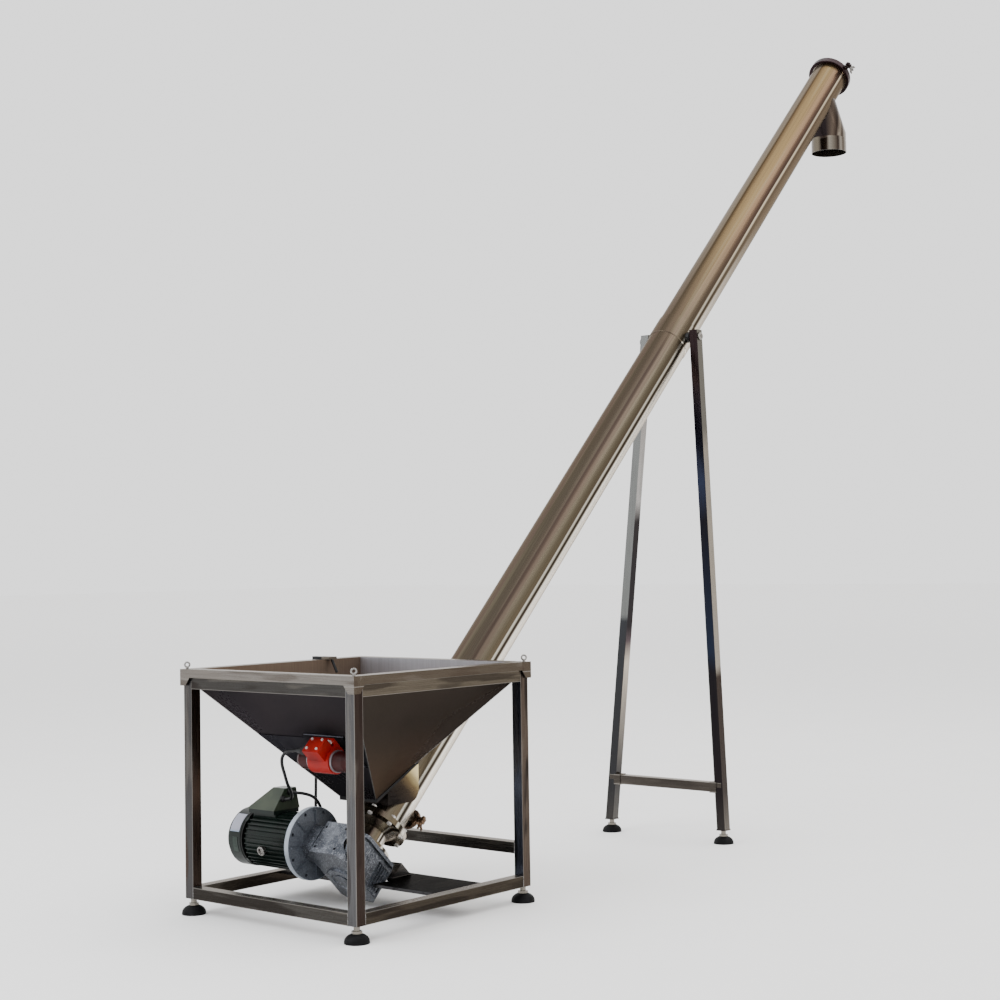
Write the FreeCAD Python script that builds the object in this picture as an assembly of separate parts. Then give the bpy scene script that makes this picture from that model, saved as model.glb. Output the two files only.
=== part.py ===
"""Inclined screw conveyor with a square feed hopper, a worm gear motor and a folding support.

Units are millimetres. X runs the way the tube points on the floor plan, from the drive end to the
outlet. Y runs from the open side to the motor side. Z is up and the floor is z = 0. Every piece is
built from the outer corner of one hopper post. At the end the whole model is moved so that its
origin is the middle of its footprint, on the floor.
"""
import FreeCAD
import Part

import math
import os

Vector = FreeCAD.Vector
AXIS_X = Vector(1, 0, 0)
AXIS_Y = Vector(0, 1, 0)
AXIS_Z = Vector(0, 0, 1)

# General fits and plate thicknesses
running_clearance = 0.05
seat_clearance = 0.05
weld_clearance = 0.3
sheet = 3.0

# Hopper frame of square tube
frame_length = 840.0
frame_width = 800.0
frame_tube = 38.0
frame_wall = 2.0
post_bottom = 53.0
top_rail_top = 787.0
raised_rail_bottom = 163.0

# Levelling feet
pad_radius = 40.0
pad_height = 30.0
pad_rim_height = 6.0
pad_dome = ((38.5, 12.5), (34.5, 19.0), (28.0, 24.5), (20.0, 28.5))
pad_top_radius = 16.0
stud_radius = 10.0
stud_nut_flats = 30.0
stud_nut_height = 8.0
stud_plug_height = 25.0
stud_reach = 62.0

# Hopper
rim_height = 28.0
rim_overhang = 9.0
rim_tab_drop = 27.0
rim_tab_width = 38.0
rim_tab_tip = 18.0
hopper_gap = 2.0
hopper_crease = 745.0
outlet_rear_x = 415.0
outlet_rear_z = 368.0
outlet_front_x = 605.0
outlet_front_z = 468.0
eye_ring_radius = 8.0
eye_wire_radius = 3.0
eye_shank_radius = 5.0
eye_shank_height = 6.0
eye_inset = 8.0
gasket_thickness = 8.0

# Conveyor tube and its incline
incline = 45.0
tube_floor_x = 241.3
tube_radius = 84.0
tube_wall = 3.0
tube_start = 376.0
tube_flange_radius = 107.0
tube_flange_thickness = 10.0
flange_bolt_count = 8
flange_bolt_first = 22.5
flange_bolt_offset = 2.0
flange_bolt_radius = 5.0
flange_bolt_flats = 16.0
flange_head_height = 6.5
flange_nut_height = 8.0
bolt_clearance = 0.5
joint_along = 3025.0
socket_length = 110.0
socket_wall = 3.0
tube_end = 4965.0
ferrule_radius = 91.0
ferrule_thickness = 12.0

# Inlet boot below the hopper
boot_bottom = 342.0
boot_rear_x = 470.0
boot_front_x = 623.0
boot_corner_radius = 40.0
boot_corner_steps = 6
inlet_half_width = 72.0

# Outlet spout
spout_setback = 22.0
spout_mouth_drop = 358.0
spout_mitre_drop = 275.0
spout_branch_angle = 35.0
spout_wall = 2.0
spout_hole_radius = 78.0
spout_bend_radius = 83.2
spout_collar_height = 50.0

# Auger
auger_pitch = 156.0
auger_turns = 28
auger_steps = 12
auger_first = 414.0
auger_radius = 77.0
auger_shaft_radius = 24.15
flight_thickness = 4.0
shaft_start = 140.0
shaft_tip_radius = 15.0
shaft_tip_length = 20.0
shaft_tip_reach = 42.0

# Worm gear box
gear_along = 208.0
gear_distance = 100.0
gear_teeth = 30
worm_starts = 2
wheel_pitch_radius = 66.0
wheel_half_width = 17.0
gear_backlash = 2.4
worm_half_length = 52.0
box_rear = 146.0
box_front = 270.0
box_upper = -148.0
box_lower = 115.0
box_half_width = 80.0
box_corner = 24.0
box_wall = 7.0
box_plate_half = 90.0
box_plate_corner = 12.0
box_plate_hole = 76.0
box_flange_rear = 265.0
box_flange_front = 278.0
pocket_start = 22.0
pocket_depth = 6.0
pocket_margin = 16.0
pocket_rib_count = 5
pocket_rib_thickness = 4.0
hub_cover_radius = 62.0
hub_cover_depth = 8.0
side_cover_radius = 44.0
side_cover_depth = 6.0
input_neck_radius = 62.0
input_flange_radius = 123.0
input_neck_reach = 105.0
input_flange_thickness = 15.0
input_rib_count = 8
input_rib_thickness = 5.0

# Bearing housing between gear box and tube
lantern_neck_radius = 52.0
lantern_flange_radius = 92.0
bearing_along = 300.0
bearing_width = 20.0
bearing_radius = 42.0

# Motor
motor_flange_thickness = 13.0
motor_barrel_radius = 88.0
motor_fin_radius = 97.5
motor_fin_count = 36
motor_fin_thickness = 3.0
motor_barrel_length = 235.0
motor_core_radius = 76.0
motor_bore_radius = 46.0
motor_shaft_radius = 14.0
rotor_radius = 45.4
fan_cover_gap = 8.0
fan_cover_length = 74.0
fan_cover_radius = 99.0
fan_radius = 84.0
fan_blades = 7
terminal_setback = 112.0
terminal_length = 137.0
terminal_overhang = 9.0
terminal_x0 = 257.0
terminal_x1 = 377.0
terminal_split_z = 322.0
terminal_top_z = 394.0
terminal_base_height = 14.0

# Gear box bracket and base plate
cradle_thickness = 10.0
cradle_rear = 190.0
cradle_front = 312.0
cradle_half_width = 78.0
base_plate_x0 = 395.0
base_plate_x1 = 625.0
base_plate_thickness = 10.0
base_slot_clearance = 6.0

# Vibrator on the hopper's rear face
vibrator_y = 312.0
vibrator_z = 522.0
vibrator_standoff = 55.0
vibrator_plate_thickness = 8.0
vibrator_plate_y0 = 228.0
vibrator_plate_y1 = 410.0
vibrator_plate_up = 64.0
vibrator_plate_down = 84.0
stiffener_thickness = 3.0
stiffener_top_z = 591.0
stiffener_margin = 10.0
vibrator_body_half = 48.0
vibrator_radius = 42.0
vibrator_bore_radius = 34.0
vibrator_foot_half = 62.0
vibrator_foot_thickness = 8.0
vibrator_bolt_across = 53.0
vibrator_bolt_along = 27.0
vibrator_hood_reach = 78.0
vibrator_hood_half = 36.0
vibrator_hood_low = 28.0
vibrator_hood_high = 84.0
vibrator_cap_radius = 34.0
vibrator_cap_length = 66.0
vibrator_ring_radius = 36.5
vibrator_shaft_radius = 9.0
vibrator_weight_radius = 25.0

# Folding support
support_foot_x = 2233.0
support_foot_half = 281.0
support_top_half = 126.0
support_leg_bottom = 58.0
support_top_over = 28.0
pivot_radius = 10.0
pivot_bush_radius = 18.0
pivot_boss_radius = 18.0
pivot_head_radius = 16.0
pivot_head_length = 7.0
pivot_collar_radius = 23.0
pivot_setback = 66.0
crossbar_bottom = 206.0
crossbar_collar = 24.0
crossbar_collar_proud = 3.0

# Clamps, wing nuts and clean-out
clamp_width = 30.0
clamp_lip = 2.7
clamp_wall = 6.0
end_clamp_wall = 10.0
end_nut_scale = 1.3
clamp_stud_radius = 4.0
clamp_lug_reach = 26.0
end_lug_reach = 36.0
clamp_stud_inset = 9.0
hinge_reach = 18.0
wing_hub_radius = 8.0
wing_hub_length = 12.0
wing_span = 20.0
wing_height = 20.0
wing_thickness = 4.0
cleanout_along = 492.0
cleanout_neck_radius = 25.5
cleanout_ferrule_radius = 32.0
cleanout_depth = 118.0

# Cables
cable_diameter = 11.0
cable_grip = 2.0
probe_x = 640.0
gland_flats = 20.0
gland_length = 16.0
vibrator_gland_flats = 26.0
vibrator_gland_length = 44.0

nodes = {}


def box(x0, x1, y0, y1, z0, z1):
    return Part.makeBox(x1 - x0, y1 - y0, z1 - z0, Vector(x0, y0, z0))


def rod(radius, start, end):
    line = end - start
    return Part.makeCylinder(radius, line.Length, start, line)


def pipe(outer, inner, start, end):
    return rod(outer, start, end).cut(rod(inner, start, end))


def prism(points, path):
    """A closed flat outline moved along a vector."""
    outline = Part.makePolygon(points + [points[0]])
    return Part.Face(outline).extrude(path)


def turned(profile, centre, axis, side):
    """A closed outline of (radius, distance along the axis) turned once round the axis."""
    points = [centre + side * radius + axis * along for radius, along in profile]
    face = Part.Face(Part.makePolygon(points + [points[0]]))
    return face.revolve(centre, axis, 360)


def ring_points(centre, axis, side, radius, count, first=0.0):
    """Points spread evenly on a circle about an axis."""
    across = axis.cross(side)
    points = []
    for index in range(count):
        angle = math.radians(first + 360.0 * index / count)
        points.append(centre + side * (radius * math.cos(angle)) + across * (radius * math.sin(angle)))
    return points


def hexagon(flats, start, end, side):
    """A hexagonal bar between two points, with the width across its flats."""
    axis = (end - start).normalize()
    corners = ring_points(start, axis, side, flats / math.sqrt(3.0), 6)
    return prism(corners, end - start)


def solid_of(shape):
    """The shape as an outward facing solid."""
    if shape.Volume < 0:
        shape.reverse()
    return shape


def triangles(a, b, c, d):
    """Two flat faces that close the gap between four corners."""
    first = Part.Face(Part.makePolygon([a, b, c, a]))
    second = Part.Face(Part.makePolygon([a, c, d, a]))
    return [first, second]


def screw(inner, outer, root_width, tip_width, lead, turns, steps, first_angle=0.0):
    """A right-hand helical flight about Z, in flat sections, from z = 0 upwards."""
    sections = []
    for index in range(int(turns * steps) + 1):
        angle = math.radians(first_angle + 360.0 * index / steps)
        middle = lead * index / steps
        direction = Vector(math.cos(angle), math.sin(angle), 0)
        sections.append([
            direction * inner + Vector(0, 0, middle - root_width / 2),
            direction * outer + Vector(0, 0, middle - tip_width / 2),
            direction * outer + Vector(0, 0, middle + tip_width / 2),
            direction * inner + Vector(0, 0, middle + root_width / 2),
        ])
    faces = []
    for near, far in zip(sections, sections[1:]):
        for corner in range(4):
            after = (corner + 1) % 4
            faces += triangles(near[corner], near[after], far[after], far[corner])
    for end in (sections[0], sections[-1]):
        faces.append(Part.Face(Part.makePolygon(end + [end[0]])))
    shell = Part.Shell(faces)
    shell.sewShape()
    return solid_of(Part.Solid(Part.Shell(shell.Faces)))


def keep(name, *solids):
    """Store the solids of one node."""
    nodes[name] = [solid_of(piece) for solid in solids for piece in solid.Solids]


# Frames of reference that follow the incline, the drive and the hopper's rear face
tube_place = FreeCAD.Placement(
    Vector(tube_floor_x, frame_width / 2, 0), FreeCAD.Rotation(AXIS_Y, 90.0 - incline))
tube_direction = tube_place.Rotation.multVec(AXIS_Z)
across_direction = tube_place.Rotation.multVec(AXIS_X)


def at_tube(across, sideways, along):
    return tube_place.multVec(Vector(across, sideways, along))


def on_tube(shape):
    """Move a shape from the tube's own frame (x across, z along the axis) into the model."""
    moved = shape.copy()
    moved.Placement = tube_place.multiply(moved.Placement)
    return moved


motor_centre = at_tube(-gear_distance, 0, gear_along)
motor_x = motor_centre.x
motor_z = motor_centre.z
worm_place = FreeCAD.Placement(motor_centre, FreeCAD.Rotation(AXIS_X, -90.0))

input_flange_start = frame_width / 2 + input_neck_reach
input_flange_end = input_flange_start + input_flange_thickness
motor_flange_end = input_flange_end + motor_flange_thickness
motor_barrel_end = motor_flange_end + motor_barrel_length
fan_cover_start = motor_barrel_end + fan_cover_gap
fan_cover_end = fan_cover_start + fan_cover_length
terminal_y0 = motor_flange_end + terminal_setback
terminal_y1 = terminal_y0 + terminal_length
terminal_low_z = terminal_split_z - terminal_base_height

spout_x = at_tube(0, 0, tube_end).x - spout_setback
spout_axis_z = (spout_x - tube_floor_x) * math.tan(math.radians(incline))
spout_mouth_z = spout_axis_z - spout_mouth_drop
spout_mitre_z = spout_axis_z - spout_mitre_drop

hopper_x0 = frame_tube + hopper_gap
hopper_x1 = frame_length - frame_tube - hopper_gap
hopper_y0 = frame_tube + hopper_gap
hopper_y1 = frame_width - frame_tube - hopper_gap
rim_top = top_rail_top + rim_height
outlet_y0 = frame_width / 2 - tube_radius
outlet_y1 = frame_width / 2 + tube_radius

slope_run = outlet_rear_x - hopper_x0
slope_drop = hopper_crease - outlet_rear_z
slope_length = math.hypot(slope_run, slope_drop)
slope_out = Vector(-slope_drop / slope_length, 0, -slope_run / slope_length)
slope_place = FreeCAD.Placement(
    Vector(hopper_x0, 0, hopper_crease),
    FreeCAD.Rotation(AXIS_Y, math.degrees(math.atan2(slope_out.x, slope_out.z))))


def corner_post(x, y):
    outer = box(x, x + frame_tube, y, y + frame_tube, post_bottom, top_rail_top)
    hollow = box(x + frame_wall, x + frame_tube - frame_wall, y + frame_wall,
                 y + frame_tube - frame_wall, post_bottom + stud_plug_height, top_rail_top)
    centre = Vector(x + frame_tube / 2, y + frame_tube / 2, post_bottom)
    hole = rod(stud_radius + running_clearance, centre, centre + Vector(0, 0, stud_plug_height))
    return outer.cut(hollow).cut(hole)


def rail_along_x(y, bottom):
    outer = box(frame_tube, frame_length - frame_tube, y, y + frame_tube, bottom, bottom + frame_tube)
    hollow = box(frame_tube, frame_length - frame_tube, y + frame_wall, y + frame_tube - frame_wall,
                 bottom + frame_wall, bottom + frame_tube - frame_wall)
    return outer.cut(hollow)


def rail_along_y(x, bottom):
    outer = box(x, x + frame_tube, frame_tube, frame_width - frame_tube, bottom, bottom + frame_tube)
    hollow = box(x + frame_wall, x + frame_tube - frame_wall, frame_tube, frame_width - frame_tube,
                 bottom + frame_wall, bottom + frame_tube - frame_wall)
    return outer.cut(hollow)


def levelling_foot(x, y, socket_bottom):
    """A rubber pad bonded to a threaded stud that screws into the leg above it."""
    outline = [(0, 0), (pad_radius, 0), (pad_radius, pad_rim_height)]
    outline += list(pad_dome)
    outline += [(pad_top_radius, pad_height), (0, pad_height)]
    pad = turned(outline, Vector(x, y, 0), AXIS_Z, AXIS_X)
    top = Vector(x, y, pad_height)
    nut = hexagon(stud_nut_flats, top, top + Vector(0, 0, stud_nut_height), AXIS_X)
    stud = rod(stud_radius, top, Vector(x, y, socket_bottom + stud_reach))
    return [pad, nut.fuse(stud)]


def make_frame():
    far_x = frame_length - frame_tube
    far_y = frame_width - frame_tube
    corners = {"rear_right": (0, 0), "rear_left": (0, far_y),
               "front_right": (far_x, 0), "front_left": (far_x, far_y)}
    for name, (x, y) in corners.items():
        keep("post_" + name, corner_post(x, y))
        keep("foot_" + name, *levelling_foot(x + frame_tube / 2, y + frame_tube / 2, post_bottom))
    top = top_rail_top - frame_tube
    keep("top_rails", rail_along_x(0, top), rail_along_x(far_y, top),
         rail_along_y(0, top), rail_along_y(far_x, top))
    keep("base_rails", rail_along_x(0, post_bottom), rail_along_x(far_y, post_bottom),
         rail_along_y(0, post_bottom), rail_along_y(far_x, raised_rail_bottom))


def funnel_solid(inset, stretch):
    """The hopper's tapered volume, drawn in by the inset and run past both ends by the stretch."""
    top = [Vector(hopper_x0 + inset, hopper_y0 + inset, hopper_crease),
           Vector(hopper_x1 - inset, hopper_y0 + inset, hopper_crease),
           Vector(hopper_x1 - inset, hopper_y1 - inset, hopper_crease),
           Vector(hopper_x0 + inset, hopper_y1 - inset, hopper_crease)]
    low = [Vector(outlet_rear_x + inset, outlet_y0 + inset, outlet_rear_z),
           Vector(outlet_front_x - inset, outlet_y0 + inset, outlet_front_z),
           Vector(outlet_front_x - inset, outlet_y1 - inset, outlet_front_z),
           Vector(outlet_rear_x + inset, outlet_y1 - inset, outlet_rear_z)]
    upper = [high + (high - deep) * stretch for high, deep in zip(top, low)]
    lower = [deep - (high - deep) * stretch for high, deep in zip(top, low)]
    wires = [Part.makePolygon(lower + [lower[0]]), Part.makePolygon(upper + [upper[0]])]
    return solid_of(Part.makeLoft(wires, True, True))


def tube_envelope(extra):
    """The round space that the conveyor tube takes up, with some clearance."""
    return rod(tube_radius + extra, at_tube(0, 0, tube_start), at_tube(0, 0, joint_along))


def make_hopper():
    collar = box(hopper_x0, hopper_x1, hopper_y0, hopper_y1, hopper_crease, rim_top)
    collar_hollow = box(hopper_x0 + sheet, hopper_x1 - sheet, hopper_y0 + sheet, hopper_y1 - sheet,
                        hopper_crease - 1.0, rim_top + 1.0)
    shell = collar.fuse(funnel_solid(0, 0)).cut(collar_hollow).cut(funnel_solid(sheet, 0.01))
    keep("hopper_shell", shell.cut(tube_envelope(weld_clearance)))

    ring = box(-rim_overhang, frame_length + rim_overhang, -rim_overhang, frame_width + rim_overhang,
               top_rail_top, rim_top)
    ring = ring.cut(box(hopper_x0, hopper_x1, hopper_y0, hopper_y1, top_rail_top, rim_top))
    channel = box(sheet - rim_overhang, frame_length + rim_overhang - sheet, sheet - rim_overhang,
                  frame_width + rim_overhang - sheet, top_rail_top + sheet, rim_top - sheet)
    ring = ring.cut(channel)
    keep("hopper_rim", ring.fuse(corner_tabs()))
    near_x = eye_inset
    near_y = eye_inset
    far_x = frame_length - eye_inset
    far_y = frame_width - eye_inset
    keep("lifting_eyes", lifting_eye(near_x, near_y), lifting_eye(far_x, near_y),
         lifting_eye(near_x, far_y))


def corner_tabs():
    """Tapered plates that reach down from the rim over the outer faces of each post."""
    low = top_rail_top - rim_tab_drop
    west = -rim_overhang
    along_x = prism([Vector(west, west, top_rail_top), Vector(rim_tab_width, west, top_rail_top),
                     Vector(rim_tab_tip, west, low), Vector(west, west, low)], Vector(0, sheet, 0))
    along_y = prism([Vector(west, west, top_rail_top), Vector(west, rim_tab_width, top_rail_top),
                     Vector(west, rim_tab_tip, low), Vector(west, west, low)], Vector(sheet, 0, 0))
    corner = along_x.fuse(along_y)
    middle = Vector(frame_length / 2, frame_width / 2, 0)
    other = corner.mirror(middle, AXIS_X)
    pair = corner.fuse(other)
    return pair.fuse(pair.mirror(middle, AXIS_Y))


def lifting_eye(x, y):
    base = Vector(x, y, rim_top)
    shank = rod(eye_shank_radius, base, base + Vector(0, 0, eye_shank_height))
    centre = base + Vector(0, 0, eye_shank_height + eye_ring_radius)
    ring = Part.makeTorus(eye_ring_radius, eye_wire_radius, centre, Vector(1, 1, 0))
    return shank.fuse(ring)


def outlet_slope():
    """The direction along the hopper's inclined outlet edge."""
    return Vector(outlet_front_x - outlet_rear_x, 0, outlet_front_z - outlet_rear_z)


def boot_solid(inset):
    """The boot's volume: level floor, upright ends, a cut front corner and a top along the outlet."""
    edge = outlet_slope()
    rise = edge.z / edge.x
    drop = gasket_thickness / math.cos(math.atan(rise))
    rear = boot_rear_x + inset
    front = boot_front_x - inset
    low = boot_bottom + inset
    top_rear = outlet_rear_z - drop + (rear - outlet_rear_x) * rise
    top_front = outlet_rear_z - drop + (front - outlet_rear_x) * rise
    half = tube_radius + weld_clearance + sheet - inset
    side = frame_width / 2 - half
    radius = boot_corner_radius - inset
    outline = [Vector(rear, side, top_rear), Vector(rear, side, low)]
    for step in range(boot_corner_steps + 1):
        angle = math.radians(90.0 * step / boot_corner_steps)
        x = front - radius + radius * math.sin(angle)
        outline.append(Vector(x, side, low + radius - radius * math.cos(angle)))
    outline.append(Vector(front, side, top_front))
    return prism(outline, Vector(0, 2 * half, 0))


def raised(shape, distance):
    moved = shape.copy()
    moved.translate(Vector(0, 0, distance))
    return moved


def make_boot():
    hollow = boot_solid(sheet)
    above = raised(hollow, sheet)
    boot = boot_solid(0).fuse(outlet_strip(gasket_thickness, sheet)).cut(hollow).cut(above)
    keep("inlet_boot", boot.cut(tube_envelope(weld_clearance)))

    strip = outlet_strip(0, gasket_thickness)
    inner = [Vector(outlet_rear_x + 2 * sheet, outlet_y0 + 2 * sheet, 0),
             Vector(outlet_front_x - 2 * sheet, outlet_y0 + 2 * sheet, 0),
             Vector(outlet_front_x - 2 * sheet, outlet_y1 - 2 * sheet, 0),
             Vector(outlet_rear_x + 2 * sheet, outlet_y1 - 2 * sheet, 0)]
    strip = strip.cut(prism(inner, Vector(0, 0, top_rail_top)))
    strip = strip.cut(tube_envelope(weld_clearance)).cut(funnel_solid(0, 0))
    keep("inlet_gasket", strip)
    return hollow.fuse(above)


def outlet_strip(below, thickness):
    """A flat plate that lies along the hopper's inclined outlet, some way below it."""
    edge = outlet_slope()
    rise = edge.z / edge.x
    stretch = 1.0 / math.cos(math.atan(rise))
    half = tube_radius + weld_clearance + sheet
    run = boot_front_x - outlet_rear_x
    corner = Vector(outlet_rear_x, frame_width / 2 - half, outlet_rear_z - below * stretch)
    front = corner + Vector(run, 0, run * rise)
    down = Vector(0, 0, -thickness * stretch)
    outline = [corner, front, front + down, corner + down]
    return prism(outline, Vector(0, 2 * half, 0))


def spout_vectors():
    """The mitre point, the branch direction towards the tube and the point on the tube's axis."""
    lean = math.radians(spout_branch_angle)
    mitre = Vector(spout_x, frame_width / 2, spout_mitre_z)
    upward = Vector(-math.sin(lean), 0, math.cos(lean))
    gap = at_tube(0, 0, 0) - mitre
    normal = tube_direction.cross(AXIS_Y)
    reach = gap.dot(normal) / upward.dot(normal)
    return mitre, upward, mitre + upward * reach


def mitre_half(mitre, upward, above, radius):
    """A large block on one side of the mitre plane."""
    normal = (AXIS_Z + upward).normalize()
    if not above:
        normal = normal * -1
    size = radius * 8
    side = AXIS_Y
    other = normal.cross(side)
    corner = mitre - side * (size / 2) - other * (size / 2)
    outline = [corner, corner + side * size, corner + side * size + other * size, corner + other * size]
    return prism(outline, normal * size)


def spout_volume(radius, past):
    mitre, upward, crossing = spout_vectors()
    branch = rod(radius, mitre - upward * (radius * 2), crossing)
    branch = branch.common(mitre_half(mitre, upward, True, radius))
    drop = rod(radius, Vector(spout_x, frame_width / 2, spout_mouth_z - past),
               mitre + AXIS_Z * (radius * 2))
    drop = drop.common(mitre_half(mitre, upward, False, radius))
    return branch.fuse(drop)


def make_tube(inlet_space):
    joint_start = joint_along - socket_length
    socket_outer = tube_radius + socket_wall
    socket_bore = tube_radius + seat_clearance
    bore = tube_radius - tube_wall
    flange_end = tube_start + tube_flange_thickness
    lower = on_tube(turned([
        (bore, tube_start), (tube_flange_radius, tube_start), (tube_flange_radius, flange_end),
        (tube_radius, flange_end), (tube_radius, joint_start - socket_wall), (socket_outer, joint_start),
        (socket_outer, joint_along), (socket_bore, joint_along), (socket_bore, joint_start),
        (bore, joint_start),
    ], Vector(0, 0, 0), AXIS_Z, AXIS_X))
    throat = box(0, frame_length, frame_width / 2 - inlet_half_width, frame_width / 2 + inlet_half_width,
                 0, hopper_crease)
    slot = inlet_space.fuse(funnel_solid(sheet, 0.01)).common(throat)
    lower = lower.cut(slot)
    for point in flange_bolt_points():
        lower = lower.cut(flange_bolt_shank(point, flange_bolt_radius + bolt_clearance))
    for side in (-1, 1):
        lower = lower.fuse(pivot_boss(side).cut(tube_envelope(socket_wall)))
        lower = lower.cut(pivot_pin(side, pivot_radius + seat_clearance))
    neck = cleanout_neck()
    lower = lower.fuse(neck)
    lower = lower.cut(rod(cleanout_neck_radius - 2.0, at_tube(tube_radius * 0.6, 0, cleanout_along),
                          at_tube(cleanout_depth, 0, cleanout_along)))
    keep("lower_tube", lower)

    ferrule_start = tube_end - ferrule_thickness
    upper = on_tube(turned([
        (bore, joint_start + weld_clearance), (tube_radius, joint_start + weld_clearance),
        (tube_radius, ferrule_start), (ferrule_radius, ferrule_start), (ferrule_radius, tube_end),
        (bore, tube_end),
    ], Vector(0, 0, 0), AXIS_Z, AXIS_X))
    mitre, upward, crossing = spout_vectors()
    keep("upper_tube", upper.cut(rod(spout_hole_radius, mitre, crossing)))

    mouth = Vector(spout_x, frame_width / 2, spout_mouth_z)
    collar = rod(tube_radius, mouth, mouth + Vector(0, 0, spout_collar_height))
    spout = spout_volume(spout_bend_radius, 0).fuse(collar).cut(spout_volume(tube_radius - spout_wall,
                                                                             1.0))
    envelope = rod(tube_radius + weld_clearance, at_tube(0, 0, joint_along), at_tube(0, 0, tube_end))
    keep("outlet_spout", spout.cut(envelope))


def flange_bolt_points():
    """The middle of each bolt that joins the bearing housing to the tube flange, in the tube's frame."""
    reach = (tube_flange_radius + tube_radius) / 2 + flange_bolt_offset
    return ring_points(Vector(0, 0, tube_start), AXIS_Z, AXIS_X, reach, flange_bolt_count,
                       flange_bolt_first)


def flange_bolt_shank(point, radius):
    half = Vector(0, 0, tube_flange_thickness)
    return on_tube(rod(radius, point - half, point + half))


def flange_bolts():
    bolts = []
    half = Vector(0, 0, tube_flange_thickness)
    for point in flange_bolt_points():
        head = hexagon(flange_bolt_flats, point - half - Vector(0, 0, flange_head_height), point - half,
                       AXIS_X)
        nut = hexagon(flange_bolt_flats, point + half, point + half + Vector(0, 0, flange_nut_height),
                      AXIS_X)
        shank = flange_bolt_shank(point, flange_bolt_radius)
        bolts.append(shank.fuse(on_tube(head)).fuse(on_tube(nut)))
    return bolts


def make_auger():
    tip = shaft_tip_radius
    tip_start = tube_end - shaft_tip_length
    tip_end = tube_end + shaft_tip_reach
    shaft = on_tube(turned([(0, shaft_start), (auger_shaft_radius, shaft_start),
                            (auger_shaft_radius, tip_start),
                            (tip, tip_start + 6.0), (tip, tip_end), (0, tip_end)],
                           Vector(0, 0, 0), AXIS_Z, AXIS_X))
    keep("auger_shaft", shaft)
    inner = auger_shaft_radius / math.cos(math.pi / auger_steps) + 0.02
    flights = screw(inner, auger_radius, flight_thickness, flight_thickness, auger_pitch, auger_turns,
                    auger_steps)
    flights.translate(Vector(0, 0, auger_first))
    keep("auger_flights", on_tube(flights))

    half = wheel_half_width
    module = 2.0 * wheel_pitch_radius / gear_teeth
    tip_radius = wheel_pitch_radius + module
    root_radius = wheel_pitch_radius - 1.25 * module
    wheel = pipe(root_radius, auger_shaft_radius + seat_clearance,
                 Vector(0, 0, gear_along - half), Vector(0, 0, gear_along + half))
    hub = pipe(auger_shaft_radius + 12.0, auger_shaft_radius + seat_clearance,
               Vector(0, 0, gear_along - half - 10.0), Vector(0, 0, gear_along + half + 10.0))
    wheel = wheel.fuse(hub)
    pitch = math.pi * module
    worm_radius = gear_distance - wheel_pitch_radius
    lead_angle = math.degrees(math.atan(worm_starts * pitch / (2 * math.pi * worm_radius)))
    thick = (pitch - gear_backlash) / 2
    wide = thick / 2 + module * 0.36
    slim = thick / 2 - module * 0.36
    teeth = []
    for index in range(gear_teeth):
        outline = [Vector(root_radius - 1.5, -wide, -half), Vector(tip_radius, -slim, -half),
                   Vector(tip_radius, slim, -half), Vector(root_radius - 1.5, wide, -half)]
        tooth = prism(outline, Vector(0, 0, 2 * half))
        tooth.rotate(Vector(0, 0, 0), AXIS_X, -lead_angle)
        tooth.rotate(Vector(0, 0, 0), AXIS_Z, 180.0 + 360.0 * (index + 0.5) / gear_teeth)
        tooth.translate(Vector(0, 0, gear_along))
        teeth.append(tooth)
    keep("worm_wheel", on_tube(wheel.fuse(teeth)))


def make_worm():
    module = 2.0 * wheel_pitch_radius / gear_teeth
    pitch = math.pi * module
    pitch_radius = gear_distance - wheel_pitch_radius
    root = pitch_radius - 1.25 * module
    tip = pitch_radius + module
    lead = worm_starts * pitch
    turns = math.floor(2 * worm_half_length / lead * 12) / 12
    thick = (pitch - gear_backlash) / 2
    core_end = input_flange_start - frame_width / 2
    core = turned([(0, -70.0), (17.0, -70.0), (17.0, -worm_half_length - 3), (root, -worm_half_length),
                   (root, worm_half_length), (17.0, worm_half_length + 3), (17.0, core_end), (0, core_end)],
                  Vector(0, 0, 0), AXIS_Z, AXIS_X)
    rise = turns * lead / 2
    threads = []
    for start in range(worm_starts):
        first = incline + 360.0 * start / worm_starts - 360.0 * turns / 2
        thread = screw(root - 0.8, tip, thick + module * 0.9, thick - module * 0.7, lead, turns, 12,
                       first)
        thread.translate(Vector(0, 0, -rise))
        threads.append(thread)
    worm = core.fuse(threads)
    worm.Placement = worm_place.multiply(worm.Placement)
    keep("worm_shaft", worm)


def motor_rod(radius, y0, y1):
    return rod(radius, Vector(motor_x, y0, motor_z), Vector(motor_x, y1, motor_z))


def motor_turned(profile):
    """A turned piece about the motor's axis from (radius, y) points."""
    return turned(profile, Vector(motor_x, 0, motor_z), AXIS_Y, AXIS_X)


def box_outline(half, upper, lower, corner):
    """The gear box's outline across the tube's axis, with cut corners."""
    return [Vector(upper, half - corner, 0), Vector(upper + corner, half, 0),
            Vector(lower - corner, half, 0),
            Vector(lower, half - corner, 0), Vector(lower, corner - half, 0), Vector(lower - corner,
                                                                                     -half, 0),
            Vector(upper + corner, -half, 0), Vector(upper, corner - half, 0)]


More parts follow.
